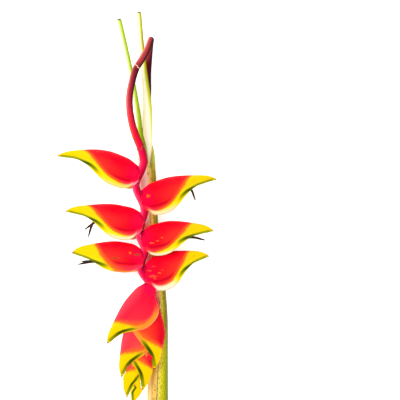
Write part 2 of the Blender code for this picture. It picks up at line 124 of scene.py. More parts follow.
def rows_through(rows, count):
    """This many rows of numbers, evenly spread on a smooth curve through the given rows."""
    rows = np.array(rows, float)
    gaps = np.linalg.norm(np.diff(rows[..., :3], axis=0), axis=-1)
    chord = np.concatenate([[0], np.cumsum(gaps.reshape(len(gaps), -1).mean(axis=1))])
    slope = np.gradient(rows, chord, axis=0)
    at = np.linspace(0, chord[-1], count)
    i = np.clip(np.searchsorted(chord, at) - 1, 0, len(chord) - 2)
    wide = (-1,) + (1,) * (rows.ndim - 1)
    gap = (chord[i + 1] - chord[i]).reshape(wide)
    t = (at - chord[i]).reshape(wide) / gap
    return between(t, rows[i], rows[i + 1], slope[i] * gap, slope[i + 1] * gap)


def line_through(points, step):
    """Points about this far apart on a smooth curve through the given ones."""
    points = np.array(points, float)
    length = np.linalg.norm(np.diff(points, axis=0), axis=1).sum()
    return rows_through(points, max(4, round(length / step) + 1))


def nearest_on(line, point):
    """Number of the line's point that lies nearest to this one."""
    return int(np.argmin(np.linalg.norm(line - np.array(point), axis=1)))


def unit(vector):
    """The same direction, one long."""
    return vector / np.linalg.norm(vector, axis=-1, keepdims=True)


def paint(red, green, blue):
    """A colour from its amounts of red, green and blue light as a screen shows them, out of 255."""
    shown = np.array([red, green, blue]) / 255
    light = np.where(shown <= 0.04045, shown / 12.92, ((shown + 0.055) / 1.055) ** 2.4)
    return (*light, 1.0)


class Wire:
    """An output in a node tree. Sums and products add Math nodes, so a pattern reads as a formula."""

    def __init__(self, tree, output=None):
        self.tree = tree
        self.output = output

    def node(self, kind, settings, values, out=0):
        """A new node. Its settings go in first, then a number, colour or wire for each socket named."""
        made = self.tree.nodes.new(kind)
        for name, value in settings.items():
            if name == "stops":
                first, *others = value
                made.color_ramp.elements.remove(made.color_ramp.elements[1])
                made.color_ramp.elements[0].position = first[0]
                made.color_ramp.elements[0].color = first[1]
                for position, colour in others:
                    made.color_ramp.elements.new(position).color = colour
            else:
                setattr(made, name, value)
        for place, value in values.items():
            if isinstance(value, Wire):
                self.tree.links.new(value.output, made.inputs[place])
            else:
                made.inputs[place].default_value = value
        return Wire(self.tree, made.outputs[out])

    def math(self, operation, *values):
        return self.node("ShaderNodeMath", {"operation": operation}, dict(enumerate(values)))

    def __add__(self, other):
        return self.math("ADD", self, other)

    def __radd__(self, other):
        return self.math("ADD", other, self)

    def __sub__(self, other):
        return self.math("SUBTRACT", self, other)

    def __rsub__(self, other):
        return self.math("SUBTRACT", other, self)

    def __mul__(self, other):
        return self.math("MULTIPLY", self, other)

    def __rmul__(self, other):
        return self.math("MULTIPLY", other, self)

    def __truediv__(self, other):
        return self.math("DIVIDE", self, other)

    def __pow__(self, other):
        return self.math("POWER", self, other)

    def abs(self):
        return self.math("ABSOLUTE", self)

    def sine(self):
        return self.math("SINE", self)

    def cosine(self):
        return self.math("COSINE", self)

    def least(self, other):
        return self.math("MINIMUM", self, other)

    def most(self, other):
        return self.math("MAXIMUM", self, other)

    def rise(self, low, high):
        """0 below low and 1 above high, with a soft step between them."""
        return self.node("ShaderNodeMapRange", {"interpolation_type": "SMOOTHSTEP"},
                         {"Value": self, "From Min": low, "From Max": high})

    def bell(self, centre, half):
        """1 at the centre, falling softly to 0 this far on either side."""
        return 1 - (self - centre).abs().rise(0.0, half)

    def split(self):
        made = self.node("ShaderNodeSeparateXYZ", {}, {0: self})
        return [Wire(self.tree, output) for output in made.output.node.outputs]

    def joined(self, x, y, z):
        return self.node("ShaderNodeCombineXYZ", {}, {"X": x, "Y": y, "Z": z})

    def ramp(self, low, high, *stops):
        """A colour that runs through stops as the value goes from low to high. A stop is a value, then
        its red, green and blue."""
        spread = [((value - low) / (high - low), paint(*colour)) for value, *colour in stops]
        share = self.node("ShaderNodeMapRange", {}, {"Value": self, "From Min": low, "From Max": high})
        return self.node("ShaderNodeValToRGB", {"stops": spread}, {"Fac": share})

    def mix(self, under, over):
        """The first colour where this is 0 and the second where it is 1."""
        return self.node("ShaderNodeMix", {"data_type": "RGBA"}, {0: self, 6: under, 7: over}, 2)

    def noise(self, scale, detail=2.0, rough=0.5):
        """Cloudy noise from 0 to 1 at this place, with about this many lumps in each metre."""
        values = {"Vector": self, "Scale": scale, "Detail": detail, "Roughness": rough}
        return self.node("ShaderNodeTexNoise", {}, values)

    def vector(self, operation, *others):
        return self.node("ShaderNodeVectorMath", {"operation": operation}, dict(enumerate((self, *others))))

    def times(self, factor):
        """This vector, made this many times as long."""
        return self.node("ShaderNodeVectorMath", {"operation": "SCALE"}, {0: self, "Scale": factor})

    def attribute(self, name, out="Fac"):
        """In a material, what the mesh has stored under this name."""
        return self.node("ShaderNodeAttribute", {"attribute_name": name}, {}, out)

    def named(self, name):
        """In a shape's tree, what the mesh has stored under this name."""
        return self.node("GeometryNodeInputNamedAttribute", {"data_type": "FLOAT"}, {"Name": name})

    def stored(self, name, value):
        """This shape, with a vector stored at its points under this name."""
        settings = {"data_type": "FLOAT_VECTOR", "domain": "POINT"}
        values = {"Geometry": self, "Name": name, "Value": value}
        return self.node("GeometryNodeStoreNamedAttribute", settings, values)


def finish(name, **constants):
    """A new material, the place on its piece as a wire, and its shader with the even values set."""
    made = bpy.data.materials.new(name)
    made.use_nodes = True
    shader = made.node_tree.nodes["Principled BSDF"]
    for socket, value in constants.items():
        shader.inputs[socket.replace("_", " ")].default_value = value
    place = Wire(made.node_tree).node("ShaderNodeTexCoord", {}, {}, "Object")
    return made, place, shader


def lay(shader, colour, roughness, height, depth):
    """Gives a shader its pattern of colour and roughness, and relief of this depth in millimetres."""
    tree = colour.tree
    relief = colour.node("ShaderNodeBump", {}, {"Height": height, "Distance": depth * MM})
    tree.links.new(colour.output, shader.inputs["Base Color"])
    tree.links.new(roughness.output, shader.inputs["Roughness"])
    tree.links.new(relief.output, shader.inputs["Normal"])


def shape_tree(name, inputs):
    """A Geometry Nodes tree with named inputs, and a wire from each of them."""
    tree = bpy.data.node_groups.new(name, "GeometryNodeTree")
    tree.interface.new_socket("Geometry", in_out="INPUT", socket_type="NodeSocketGeometry")
    tree.interface.new_socket("Geometry", in_out="OUTPUT", socket_type="NodeSocketGeometry")
    for label, kind in inputs.items():
        tree.interface.new_socket(label, in_out="INPUT", socket_type="NodeSocket" + kind)
    given = tree.nodes.new("NodeGroupInput")
    return {output.name: Wire(tree, output) for output in given.outputs if output.name}


def end_tree(shape, material):
    """Ends a tree: smooth faces, real copies and the material."""
    smooth = shape.node("GeometryNodeSetShadeSmooth", {}, {"Geometry": shape})
    real = shape.node("GeometryNodeRealizeInstances", {}, {"Geometry": smooth})
    clad = shape.node("GeometryNodeSetMaterial", {}, {"Geometry": real, "Material": material})
    shape.tree.links.new(clad.output, shape.tree.nodes.new("NodeGroupOutput").inputs["Geometry"])
    return shape.tree


def object_of(name, points, edges=(), faces=(), **numbers):
    """An object from points in millimetres, with a number for each point under each name given."""
    mesh = bpy.data.meshes.new(name)
    mesh.from_pydata([tuple(p) for p in np.array(points) * MM], edges, faces)
    for label, values in numbers.items():
        values = np.array(values, np.float32)
        kind, field = ("FLOAT_VECTOR", "vector") if values.ndim == 2 else ("FLOAT", "value")
        mesh.attributes.new(label, kind, "POINT").data.foreach_set(field, values.ravel())
    made = bpy.data.objects.new(name, mesh)
    bpy.context.scene.collection.objects.link(made)
    return made


def lines_of(name, lines, **numbers):
    """An object of several open lines, each from its own points."""
    edges = []
    first = 0
    for line in lines:
        edges += [(first + k, first + k + 1) for k in range(len(line) - 1)]
        first += len(line)
    merged = {label: np.concatenate(values) for label, values in numbers.items()}
    return object_of(name, np.concatenate(lines), edges, **merged)


def outwards(mesh):
    """Turns every face of closed shapes outwards."""
    shape = bmesh.new()
    shape.from_mesh(mesh)
    bmesh.ops.recalc_face_normals(shape, faces=shape.faces)
    shape.to_mesh(mesh)
    shape.free()
    mesh.shade_smooth()


def grow(source, tree, values):
    """Runs a tree on an object with these inputs, and keeps the result as that object's plain mesh."""
    maker = source.modifiers.new("grow", "NODES")
    maker.node_group = tree
    for socket in tree.interface.items_tree:
        if socket.in_out == "INPUT" and socket.name in values:
            maker[socket.identifier] = values[socket.name]
    graph = bpy.context.evaluated_depsgraph_get()
    mesh = bpy.data.meshes.new_from_object(source.evaluated_get(graph))
    source.modifiers.remove(maker)
    source.data = mesh
    outwards(mesh)
    return source


def rod_tree():
    """A round rod along each line of the object, whose radius is the lines' own "thick", in metres."""
    given = shape_tree("rod_along_a_line", {
        "Sides": "Int", "Unevenness": "Float", "Lumps": "Float", "Finish": "Material"})
    line = given["Geometry"]
    curve = line.node("GeometryNodeMeshToCurve", {}, {"Mesh": line})
    ring = line.node("GeometryNodeCurvePrimitiveCircle", {}, {"Resolution": given["Sides"], "Radius": 1.0})
    rod = line.node("GeometryNodeCurveToMesh", {}, {
        "Curve": curve, "Profile Curve": ring, "Scale": line.named("thick"), "Fill Caps": True})
    place = line.node("GeometryNodeInputPosition", {}, {})
    swell = (place.noise(given["Lumps"]) - 0.5) * given["Unevenness"]
    normal = line.node("GeometryNodeInputNormal", {}, {})
    shape = line.node("GeometryNodeSetPosition", {}, {"Geometry": rod, "Offset": normal.times(swell)})
    return end_tree(shape.stored("facing", normal), given["Finish"])


def stalk_line():
    """Points and radii of the whole flower stalk, with how far each lies from the cut end."""
    core = line_through(CORE, CORE_STEP)[:-1]
    bend = line_through([CORE[-1], *BEND, *ZIGZAG], STALK_STEP)
    turn = nearest_on(bend, LOWER_SCAR)
    radii = np.concatenate([
        value_along(CORE_RADIUS, np.linspace(0, 1, len(core))),
        value_along(BEND_RADIUS, np.linspace(0, 1, turn)),
        value_along(ZIGZAG_RADIUS, np.linspace(0, 1, len(bend) - turn)),
    ])
    line = np.concatenate([core, bend])
    run = np.concatenate([[0], np.cumsum(np.linalg.norm(np.diff(line, axis=0), axis=1))])
    return line, radii, run


def run_at(point):
    """How far along the stalk a point beside it lies."""
    return float(stalk_run[nearest_on(stalk, point)])


def scar_line(scar, slant, tilt):
    """A ring on the stalk's skin, whose upper and right sides lie this much further along it."""
    middle = nearest_on(stalk, scar)
    along = unit(stalk[middle + 1] - stalk[middle - 1])
    side = unit(np.cross(along, (0, 0, 1)))
    top = np.cross(side, along)
    points = []
    for angle in np.linspace(0, 2 * math.pi, SCAR_POINTS):
        rise = max(0.0, math.cos(angle)) ** SCAR_SHARPNESS - SCAR_SETBACK
        ahead = slant * rise + tilt * math.sin(angle)
        here = int(round(middle + ahead / STALK_STEP))
        bent = stalk[here] - stalk[middle]
        centre = stalk[middle] + along * ahead * (1 - SCAR_FOLLOWS_BEND) + bent * SCAR_FOLLOWS_BEND
        points.append(centre + stalk_radii[here] * (math.sin(angle) * side + math.cos(angle) * top))
    return np.array(points)


def spots_on(colour, place, spots):
    """A skin with ragged bruises, each at a place seen from above: its middle, how far it reaches across
    and along in millimetres, and its colour."""
    x, y, _ = place.split()
    ragged = place.noise(700.0, 3.0)
    for across, along, half_width, half_length, bruise in spots:
        far = ((x / MM - across) / half_width) ** 2 + ((y / MM - along) / half_length) ** 2
        inside = (far + (ragged - 0.45) * SPOT_RAGGEDNESS).rise(1.0, 0.3)
        colour = (inside * SPOT_STRENGTH).mix(colour, bruise)
    return colour


def stalk_finish():
    """Dull brown-red above, dark crimson below the first scar and bright magenta red along the head,
    with a painted highlight on the side that faces left and painted shade on the side that faces right.
    Painted shade darkens the rising run under the bend, and pink patches along the head are painted
    highlights."""
    made, place, shader = finish("flower_stalk_skin", Specular_IOR_Level=0.04)
    run = place.attribute("run")
    right = place.attribute("facing", "Vector").split()[0]
    clouds = place.noise(90.0, 4.0)
    grain = place.noise(1400.0, 2.0)
    mouth, top = run_at(BEND[0]), run_at(BEND[5])
    upper, lower = run_at(UPPER_SCAR), run_at(LOWER_SCAR)
    place_along = run + (clouds - 0.5) * 10
    end = stalk_run[-1]
    # The ramp is darkest on the rising run under the bend, where that darkness is painted shade.
    skin = place_along.ramp(
        0, end,
        (0, 226, 222, 158), (mouth - 25, 190, 185, 90), (mouth + 15, 84, 12, 26),
        (top - 30, 96, 14, 32), (top + 4, 180, 66, 66), (upper - 4, 168, 50, 54),
        (upper + 4, 112, 22, 36), (upper + 24, 150, 34, 50), (upper + 52, 190, 40, 60),
        (lower - 44, 214, 36, 58), (lower - 16, 236, 10, 52), (lower - 3, 232, 4, 50),
        (lower + 4, 224, 0, 62), (lower + 30, 222, 0, 58), (end, 220, 0, 70),
    )
    # Painted highlight: the colours of the side that faces left, towards the key light.
    painted_highlight = place_along.ramp(
        0, end,
        (0, 236, 232, 180), (mouth - 25, 200, 190, 96), (mouth + 15, 140, 16, 40),
        (top - 30, 150, 22, 44), (top + 4, 250, 184, 170), (upper - 4, 220, 112, 106),
        (upper + 4, 170, 70, 84), (upper + 24, 232, 120, 116), (upper + 52, 246, 118, 112),
        (lower - 44, 250, 96, 88), (lower - 16, 240, 96, 64), (lower + 4, 244, 30, 84),
        (lower + 40, 250, 90, 130), (end, 252, 84, 120),
    )
    # Painted shade: the colours of the side that faces right, away from the key light.
    painted_shade = place_along.ramp(
        0, end,
        (0, 190, 180, 110), (mouth - 25, 120, 110, 50), (mouth + 15, 34, 6, 10),
        (top - 30, 30, 6, 8), (top + 4, 66, 20, 22), (upper - 4, 44, 10, 12),
        (upper + 24, 48, 6, 16), (lower - 44, 120, 10, 26), (lower - 10, 170, 0, 30),
        (lower + 4, 160, 0, 44), (end, 150, 0, 40),
    )
    # The side facing left takes the painted highlight, the side facing right the painted shade.
    lit = right.rise(-0.1, -0.9).mix(skin, painted_highlight)
    shaded = right.rise(0.05, 0.8).mix(lit, painted_shade)
    dusk = (place.noise(220.0, 3.0).rise(0.56, 0.75) * 0.3).mix(shaded, paint(110, 10, 40))
    # Painted pink highlights, in patches placed by noise along the head.
    pink_highlight_mask = clouds.rise(0.48, 0.7) * run.rise(lower + 34, lower + 50)
    pink_highlighted = (pink_highlight_mask * 0.6).mix(dusk, paint(255, 100, 150))
    bruised = spots_on(pink_highlighted, place, STALK_SPOTS)
    rough = 0.6 - run.rise(lower - 20, lower + 10) * 0.2 + grain * 0.08
    lay(shader, bruised, rough, grain * 0.5 + clouds, STALK_RELIEF)
    return made


def scar_finish(name, edge, heart):
    """Dry, flecked scar tissue."""
    made, place, shader = finish(name, Specular_IOR_Level=0.2)
    flecks = place.noise(900.0, 3.0)
    colour = flecks.rise(0.42, 0.62).mix(edge, heart)
    lay(shader, colour, 0.75 + flecks * 0.2, flecks, SCAR_RELIEF)
    return made


rods = rod_tree()
stalk, stalk_radii, stalk_run = stalk_line()
flower_stalk = lines_of("flower_stalk_shown", [stalk], thick=[stalk_radii * MM], run=[stalk_run])
grow(flower_stalk, rods, {
    "Sides": STALK_SIDES, "Unevenness": STALK_UNEVENNESS * MM, "Lumps": STALK_LUMPS,
    "Finish": stalk_finish()})
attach(flower_stalk, "root")
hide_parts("flower_stalk")

# Place, slant, tilt, radius, colour of the edge and of the flecks.
SCARS = {
    "scar_upper": (UPPER_SCAR, 0.6, -1.3, 0.55, paint(255, 240, 200), paint(206, 160, 104)),
    "scar_lower": (LOWER_SCAR, 3.0, 2.6, 0.5, paint(140, 110, 30), paint(60, 42, 12)),
}
for name, (scar, slant, tilt, radius, edge, heart) in SCARS.items():
    line = scar_line(scar, slant, tilt)
    ring = lines_of(name, [line], thick=[np.full(len(line), radius * MM)])
    grow(ring, rods, {
        "Sides": SCAR_SIDES, "Unevenness": SCAR_UNEVENNESS * MM, "Lumps": SCAR_LUMPS,
        "Finish": scar_finish(name, edge, heart)})
    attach(ring, "root")

# Leaves. Each is one rolled sheath that goes over into a grooved leaf stalk, green and fleshy with a thin
# dry margin. They grew round each other, and both stalks are cut off square above the bend.
# By the place along the stem: the radius of the whole stem, that of the flower stalk in its middle, and
# further down, which way the outer leaf's slit faces, in degrees.
STEM_RADIUS = [(-238.0, 13.6), (-150.0, 12.9), (-60.0, 12.2), (0.0, 11.7), (95.0, 11.0), (150.0, 10.6)]
STEM_CORE = [(-238.0, 5.0), (0.0, 4.6), (150.0, 4.2)]
REST_ANGLE = math.radians(18)
SHEATH_SHARE = 0.48
SHEATH_WRAP = 350.0
SLIT = [(-238.0, -12.0), (-150.0, -12.0), (0.0, 20.0), (150.0, 24.0)]
INNER_SLIT = 205.0
SHEATH_STATIONS = [-237.9, -200.0, -150.0, -100.0, -50.0, 0.0, 50.0, 100.0, 135.0]
# Stations up the leaf stalks: place, outer and inner radius, degrees round, and the side that is open.
OUTER_STALK = [
    (-8.3, 163.0, 9.9, 10.0, 7.2, 300.0, 40.0),
    (-9.8, 174.0, 9.0, 8.2, 5.2, 245.0, 62.0),
    (-12.8, 186.0, 7.8, 6.0, 3.2, 210.0, 80.0),
    (-16.6, 201.0, 6.0, 4.4, 1.8, 215.0, 115.0),
    (-21.0, 224.0, 4.7, 3.7, 1.4, 225.0, 135.0),
    (-28.1, 263.0, 3.9, 3.2, 1.3, 230.0, 140.0),
    (-43.3, 331.0, 3.8, 3.4, 1.3, 230.0, 140.0),
]
INNER_STALK = [
    (-7.2, 176.0, 9.9, 6.6, 4.5, 330.0, 190.0),
    (-6.5, 200.0, 9.8, 5.9, 4.3, 315.0, 172.0),
    (-6.6, 219.0, 10.4, 5.4, 3.8, 275.0, 160.0),
    (-7.5, 234.0, 12.0, 4.9, 3.0, 238.0, 155.0),
    (-8.8, 247.0, 13.8, 4.5, 2.0, 212.0, 152.0),
    (-10.5, 263.0, 15.2, 4.2, 1.5, 198.0, 150.0),
    (-12.9, 285.0, 15.6, 3.9, 1.4, 192.0, 150.0),
    (-17.5, 338.5, 15.0, 3.7, 1.4, 190.0, 150.0),
]
SHEATH_STEP = 2.6
SHEATH_POINTS = 161
MARGIN_SHARE = 0.022
LAP_ANGLE = 13.0
LAP_LIFT = 0.2
MARGIN_THICKNESS = 0.3
TORN_LENGTH = 2.2
TORN_FROM = (0.985, 1.0)
LAPPING_WRAP = (330.0, 349.0)
WALL_SHARPNESS = 8
LEAF_GAP = 0.35
STALK_ROOM = 0.7
SHEATH_UNEVENNESS = 0.4
WELD = 0.001
LEAF_RELIEF = 0.4
SHEATH_MOUTH = (0.64, 0.72)
BEHIND_BRACTS = (0.37, 0.07)


def sheath_tree():
    """A wall rolled round the object's line. The line says how far out the wall's two faces lie, how far
    round it goes, and which side is open. Where it goes nearly all the way round, one edge thins to a dry
    margin that laps over the other. The far end is torn. It keeps off the floor."""
    given = shape_tree("sheath_round_a_line", {
        "Rings": "Int", "Points": "Int", "Margin": "Float", "Lap": "Float", "Unevenness": "Float",
        "Torn": "Float", "Finish": "Material"})
    line = given["Geometry"]
    curve = line.node("GeometryNodeMeshToCurve", {}, {"Mesh": line})
    grid = line.node("GeometryNodeMeshGrid", {}, {
        "Size X": 1.0, "Size Y": 1.0, "Vertices X": given["Rings"], "Vertices Y": given["Points"]})
    x, y, _ = line.node("GeometryNodeInputPosition", {}, {}).split()
    ring = (x + 0.5) * (given["Rings"] - 1)
    share = ((ring - 1) / (given["Rings"] - 3)).most(0.0).least(1.0)
    whole = ring.rise(0.2, 0.8) * (given["Rings"] - 1 - ring).rise(0.2, 0.8)
    turn = (y + 0.5) * (2 * math.pi)
    outside = (turn.sine() * WALL_SHARPNESS * whole + 0.5).most(0.0).least(1.0)
    around = 1 - (y * 2).abs()

    def read(name):
        """What the line says here under this name."""
        return line.node("GeometryNodeSampleCurve", {"mode": "FACTOR"},
                         {"Curves": curve, "Value": line.named(name), "Factor": share})

    outer, inner, wrap = read("outer"), read("inner"), read("wrap")
    here = outer.output.node.outputs
    centre, along = Wire(line.tree, here["Position"]), Wire(line.tree, here["Tangent"])
    across = along.vector("CROSS_PRODUCT", (0, 0, 1)).vector("NORMALIZE")
    up = across.vector("CROSS_PRODUCT", along)
    margin_start, margin_end = 1 - given["Margin"] * 1.25, 1 - given["Margin"] * 0.5
    over = around.rise(margin_start, margin_end) * wrap.rise(*LAPPING_WRAP)
    wavy = line.joined(share * 20, 0.0, 0.0).noise(4.0, 3.0)
    lapped = over * given["Lap"] * (wavy + 0.5)
    angle = (read("open") + 180 + (around - 0.5) * wrap + lapped) * (math.pi / 180)
    sine, cosine = angle.sine(), angle.cosine()
    ripple = line.joined(sine * 0.02, share * 3, cosine * 0.02)
    wall = inner + (outer - inner) * outside
    margin = outer + LAP_LIFT * MM + outside * (MARGIN_THICKNESS * MM)
    radius = wall + (margin - wall) * over + (ripple.noise(60.0) - 0.5) * given["Unevenness"] * outside
    spoke = across.times(radius * sine).vector("ADD", up.times(radius * cosine))
    frayed = line.joined(sine, cosine, 0.0).noise(3.0, 3.0)
    back = along.times(share.rise(*TORN_FROM) * frayed * given["Torn"])
    x, y, z = centre.vector("ADD", spoke).vector("SUBTRACT", back).split()
    kept = grid.stored("roll", line.joined(share, around, outside))
    shape = line.node("GeometryNodeSetPosition", {}, {
        "Geometry": kept, "Position": line.joined(x, y, z.most(0.0))})
    welded = line.node("GeometryNodeMergeByDistance", {}, {"Geometry": shape, "Distance": WELD * MM})
    return end_tree(welded, given["Finish"])


def stem_at(y):
    """Middle and radius of the bundle at a place along it."""
    x = value_along([(b, a) for a, b, _ in CORE], y)
    radius = value_along(STEM_RADIUS, y)
    return (float(x), y, float(radius) * math.cos(REST_ANGLE)), float(radius)


def sheath_stations(inner_leaf):
    """Stations of the rolled part of a leaf, in the way of those up the leaf stalks."""
    made = []
    for y in SHEATH_STATIONS:
        centre, radius = stem_at(y)
        core = float(value_along(STEM_CORE, y))
        middle = core + (radius - core) * SHEATH_SHARE
        if inner_leaf:
            made.append((*centre, middle - LEAF_GAP, core + STALK_ROOM, SHEATH_WRAP, INNER_SLIT))
        else:
            made.append((*centre, radius, middle, SHEATH_WRAP, float(value_along(SLIT, y))))
    return made


def leaf(name, stations, material, lap):
    """One leaf's sheath and stalk, whose dry margin laps this many degrees over the other edge."""
    stations = np.array(stations)
    length = np.linalg.norm(np.diff(stations[:, :3], axis=0), axis=1).sum()
    rows = rows_through(stations, round(length / SHEATH_STEP))
    outer, inner, wrap, opening = rows[:, 3] * MM, rows[:, 4] * MM, rows[:, 5], rows[:, 6]
    made = lines_of(name, [rows[:, :3]], outer=[outer], inner=[inner], wrap=[wrap], open=[opening])
    grow(made, sheaths, {
        "Rings": len(rows) + 2, "Points": SHEATH_POINTS, "Margin": MARGIN_SHARE, "Lap": lap,
        "Unevenness": SHEATH_UNEVENNESS * MM, "Torn": TORN_LENGTH * MM, "Finish": material})
    return made


def leaf_finish(name, bands, speckle):
    """Green leaf tissue: runs of colours round it, each from its own place along it on, which hold painted
    highlight and painted shade besides the leaf's own colours, with fine veins, brown specks, and pith
    where it is cut."""
    made, place, shader = finish(name, Specular_IOR_Level=0.06)
    share, around, outside = place.attribute("roll", "Vector").split()
    clouds = place.vector("MULTIPLY", (1.0, 0.25, 1.0)).noise(120.0, 4.0)
    bent = around + (clouds - 0.5) * 0.012
    on_sheath = 1 - share.rise(*SHEATH_MOUTH)
    _, stops = bands[0]
    colour = bent.ramp(0, 1, *stops)
    for begins, stops in bands[1:]:
        colour = share.rise(*begins).mix(colour, bent.ramp(0, 1, *stops))
    veins = place.joined(around * 60, share * 1.5, 0.0).noise(3.0, 3.0)
    lined = (veins.rise(0.45, 0.75) * 0.2).mix(colour, paint(96, 104, 10))
    rusty = place.vector("MULTIPLY", (1.0, 0.16, 1.0)).noise(210.0, 4.0, 0.6).rise(0.47, 0.62)
    middle = share.bell(*BEHIND_BRACTS)
    dry = (bent.rise(0.95, 0.965) + middle * bent.rise(0.89, 0.92)).least(1.0) * on_sheath
    mottled = (dry * rusty * (0.3 + middle * 0.6) * speckle).mix(lined, paint(136, 66, 26))
    dots = place.vector("MULTIPLY", (1.0, 0.5, 1.0)).noise(640.0, 2.0, 0.6)
    dotted = dots.rise(0.56, 0.64) * bent.rise(0.2, 0.08).most(dry) * on_sheath * speckle
    spotted = (dotted * 0.8).mix(mottled, paint(110, 66, 20))
    smears = place.vector("MULTIPLY", (1.0, 0.08, 1.0)).noise(160.0, 3.0).rise(0.56, 0.70) * on_sheath
    smeared = (smears * 0.4 * speckle).mix(spotted, paint(140, 104, 40))
    pith = (1 - outside.rise(0.0, 0.9)).mix(smeared, paint(228, 222, 160))
    cut = share.rise(0.975, 0.998)
    browned = (cut * (1 - outside.rise(0.3, 0.8)) * (0.6 + clouds)).mix(pith, paint(84, 56, 20))
    torn = around.bell(0.7, 0.3).mix(paint(240, 220, 180), paint(96, 62, 26))
    bleached = (share.rise(0.9945, 0.9975) * outside.rise(0.3, 0.8) * 0.9).mix(browned, torn)
    rough = 0.45 + clouds * 0.16 + dotted * 0.2
    lay(shader, bleached, rough, veins * 0.6 + dots * 0.3 + rusty * dry, LEAF_RELIEF)
    return made


sheaths = sheath_tree()

# Colours round the outer leaf, low on the stem, behind the last open bract, above it, and up its stalk.
# Besides the leaf's own greens and dry margin they hold painted light: a pale to white painted
# highlight on the left and top, and painted shade darkening towards the right edge.
OUTER_LOW_WITH_PAINTED_LIGHT = [
    (0.0, 240, 212, 120), (0.02, 232, 206, 104), (0.054, 222, 204, 60), (0.09, 204, 194, 24),
    (0.125, 178, 176, 0), (0.161, 146, 152, 0), (0.2, 110, 130, 4), (0.3, 96, 104, 24),
    (0.5, 126, 146, 44), (0.75, 230, 216, 120), (0.82, 236, 208, 110), (0.86, 240, 206, 100),
    (0.89, 248, 220, 160), (0.92, 236, 204, 140), (0.945, 220, 168, 92), (0.965, 226, 176, 84),
    (0.985, 232, 196, 96), (1.0, 226, 190, 100),
]
OUTER_MIDDLE_WITH_PAINTED_LIGHT = [
    (0.0, 250, 222, 150), (0.015, 244, 226, 110), (0.04, 214, 202, 20), (0.065, 166, 160, 4),
    (0.09, 130, 128, 0), (0.14, 128, 112, 52), (0.2, 120, 100, 64), (0.3, 96, 104, 24),
    (0.5, 126, 146, 44), (0.8, 206, 176, 96), (0.88, 206, 140, 80), (0.96, 200, 126, 66),
    (0.985, 236, 184, 124), (1.0, 250, 222, 160),
]
OUTER_HIGH_WITH_PAINTED_LIGHT = [
    (0.0, 196, 190, 50), (0.035, 170, 172, 26), (0.1, 130, 136, 8), (0.2, 104, 110, 10),
    (0.3, 96, 104, 24), (0.5, 126, 146, 44), (0.66, 250, 250, 236), (0.9, 250, 255, 250),
    (0.94, 255, 255, 230), (0.965, 255, 238, 160), (0.985, 250, 224, 110), (1.0, 230, 206, 70),
]
OUTER_FRESH_WITH_PAINTED_LIGHT = [
    (0.0, 176, 190, 60), (0.12, 214, 222, 120), (0.28, 240, 246, 220), (0.52, 232, 242, 204),
    (0.64, 214, 230, 130), (0.74, 180, 208, 34), (0.84, 152, 190, 0), (0.92, 130, 172, 0),
    (1.0, 98, 138, 0),
]
# The share of the leaf over which each run of colours takes over.
OUTER_BANDS = [
    ((0.0, 0.0), OUTER_LOW_WITH_PAINTED_LIGHT), ((0.24, 0.33), OUTER_MIDDLE_WITH_PAINTED_LIGHT), ((0.41, 0.5), OUTER_HIGH_WITH_PAINTED_LIGHT),
    (SHEATH_MOUTH, OUTER_FRESH_WITH_PAINTED_LIGHT),
]
leaf_outer = leaf("leaf_outer_shown", [*sheath_stations(False), *OUTER_STALK],
                  leaf_finish("outer_leaf_skin", OUTER_BANDS, 1.0), LAP_ANGLE)
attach(leaf_outer, "root")
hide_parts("leaf_outer")

INNER_PALE = [(0.0, 196, 190, 110), (0.5, 240, 238, 196), (1.0, 196, 190, 110)]
# Round the inner leaf's stalk: its own yellow-green, with a white painted highlight across the middle and
# painted shade darkening it towards one edge.
INNER_FRESH_WITH_PAINTED_LIGHT = [
    (0.0, 150, 120, 40), (0.18, 176, 140, 44), (0.25, 230, 214, 84), (0.38, 250, 248, 200),
    (0.6, 255, 255, 226), (0.69, 228, 224, 84), (0.79, 188, 186, 8), (0.89, 146, 148, 10),
    (1.0, 110, 108, 16),
]
INNER_BANDS = [((0.0, 0.0), INNER_PALE), (SHEATH_MOUTH, INNER_FRESH_WITH_PAINTED_LIGHT)]
leaf_inner = leaf("leaf_inner_shown", [*sheath_stations(True), *INNER_STALK],
                  leaf_finish("inner_leaf_skin", INNER_BANDS, 0.3), 0.0)
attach(leaf_inner, "root")
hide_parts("leaf_inner")

# Bracts. Each is one waxy leaf folded lengthwise into a boat, fleshy and about a millimetre thick, that
# grew on the stalk by its base. Its keel points outwards, its two lips towards the head's tip, and its
# beak is solid.
# Square to the plane of the bud, which sinks a little towards its tip.
HEAD_UP = np.array([0.0, -0.0514, 1.0])
# How far keel and lip stand off the line from base to tip, as shares of the bract's length, along it.
KEEL_LINE = [(0, 0.137), (0.15, 0.185), (0.34, 0.192), (0.48, 0.178), (0.61, 0.152), (0.74, 0.121),
             (0.87, 0.085), (0.95, 0.048), (1, 0.006)]
RIGHT_BUD_KEEL = [(0, 0.075), (0.06, 0.083), (0.12, 0.098), (0.2, 0.123), (0.3, 0.151), (0.4, 0.169),
                  (0.48, 0.177), (0.61, 0.156), (0.74, 0.121), (0.87, 0.085), (0.95, 0.048), (1, 0.006)]
OPEN_LIP = [(0, 0.135), (0.035, 0.178), (0.08, 0.208), (0.12, 0.22), (0.17, 0.227), (0.22, 0.227),
            (0.28, 0.22), (0.33, 0.206), (0.38, 0.183), (0.44, 0.15), (0.5, 0.115), (0.56, 0.085),
            (0.62, 0.062), (0.7, 0.036), (0.8, 0.014), (0.9, 0.009), (1, 0.004)]
BUD_LIP = [(0, 0.06), (0.04, 0.094), (0.09, 0.165), (0.15, 0.248), (0.21, 0.285), (0.28, 0.302),
           (0.36, 0.3), (0.44, 0.283), (0.51, 0.25), (0.56, 0.205), (0.61, 0.167), (0.66, 0.125),
           (0.71, 0.09), (0.76, 0.062), (0.82, 0.042), (0.9, 0.026), (0.95, 0.018), (1, 0.004)]
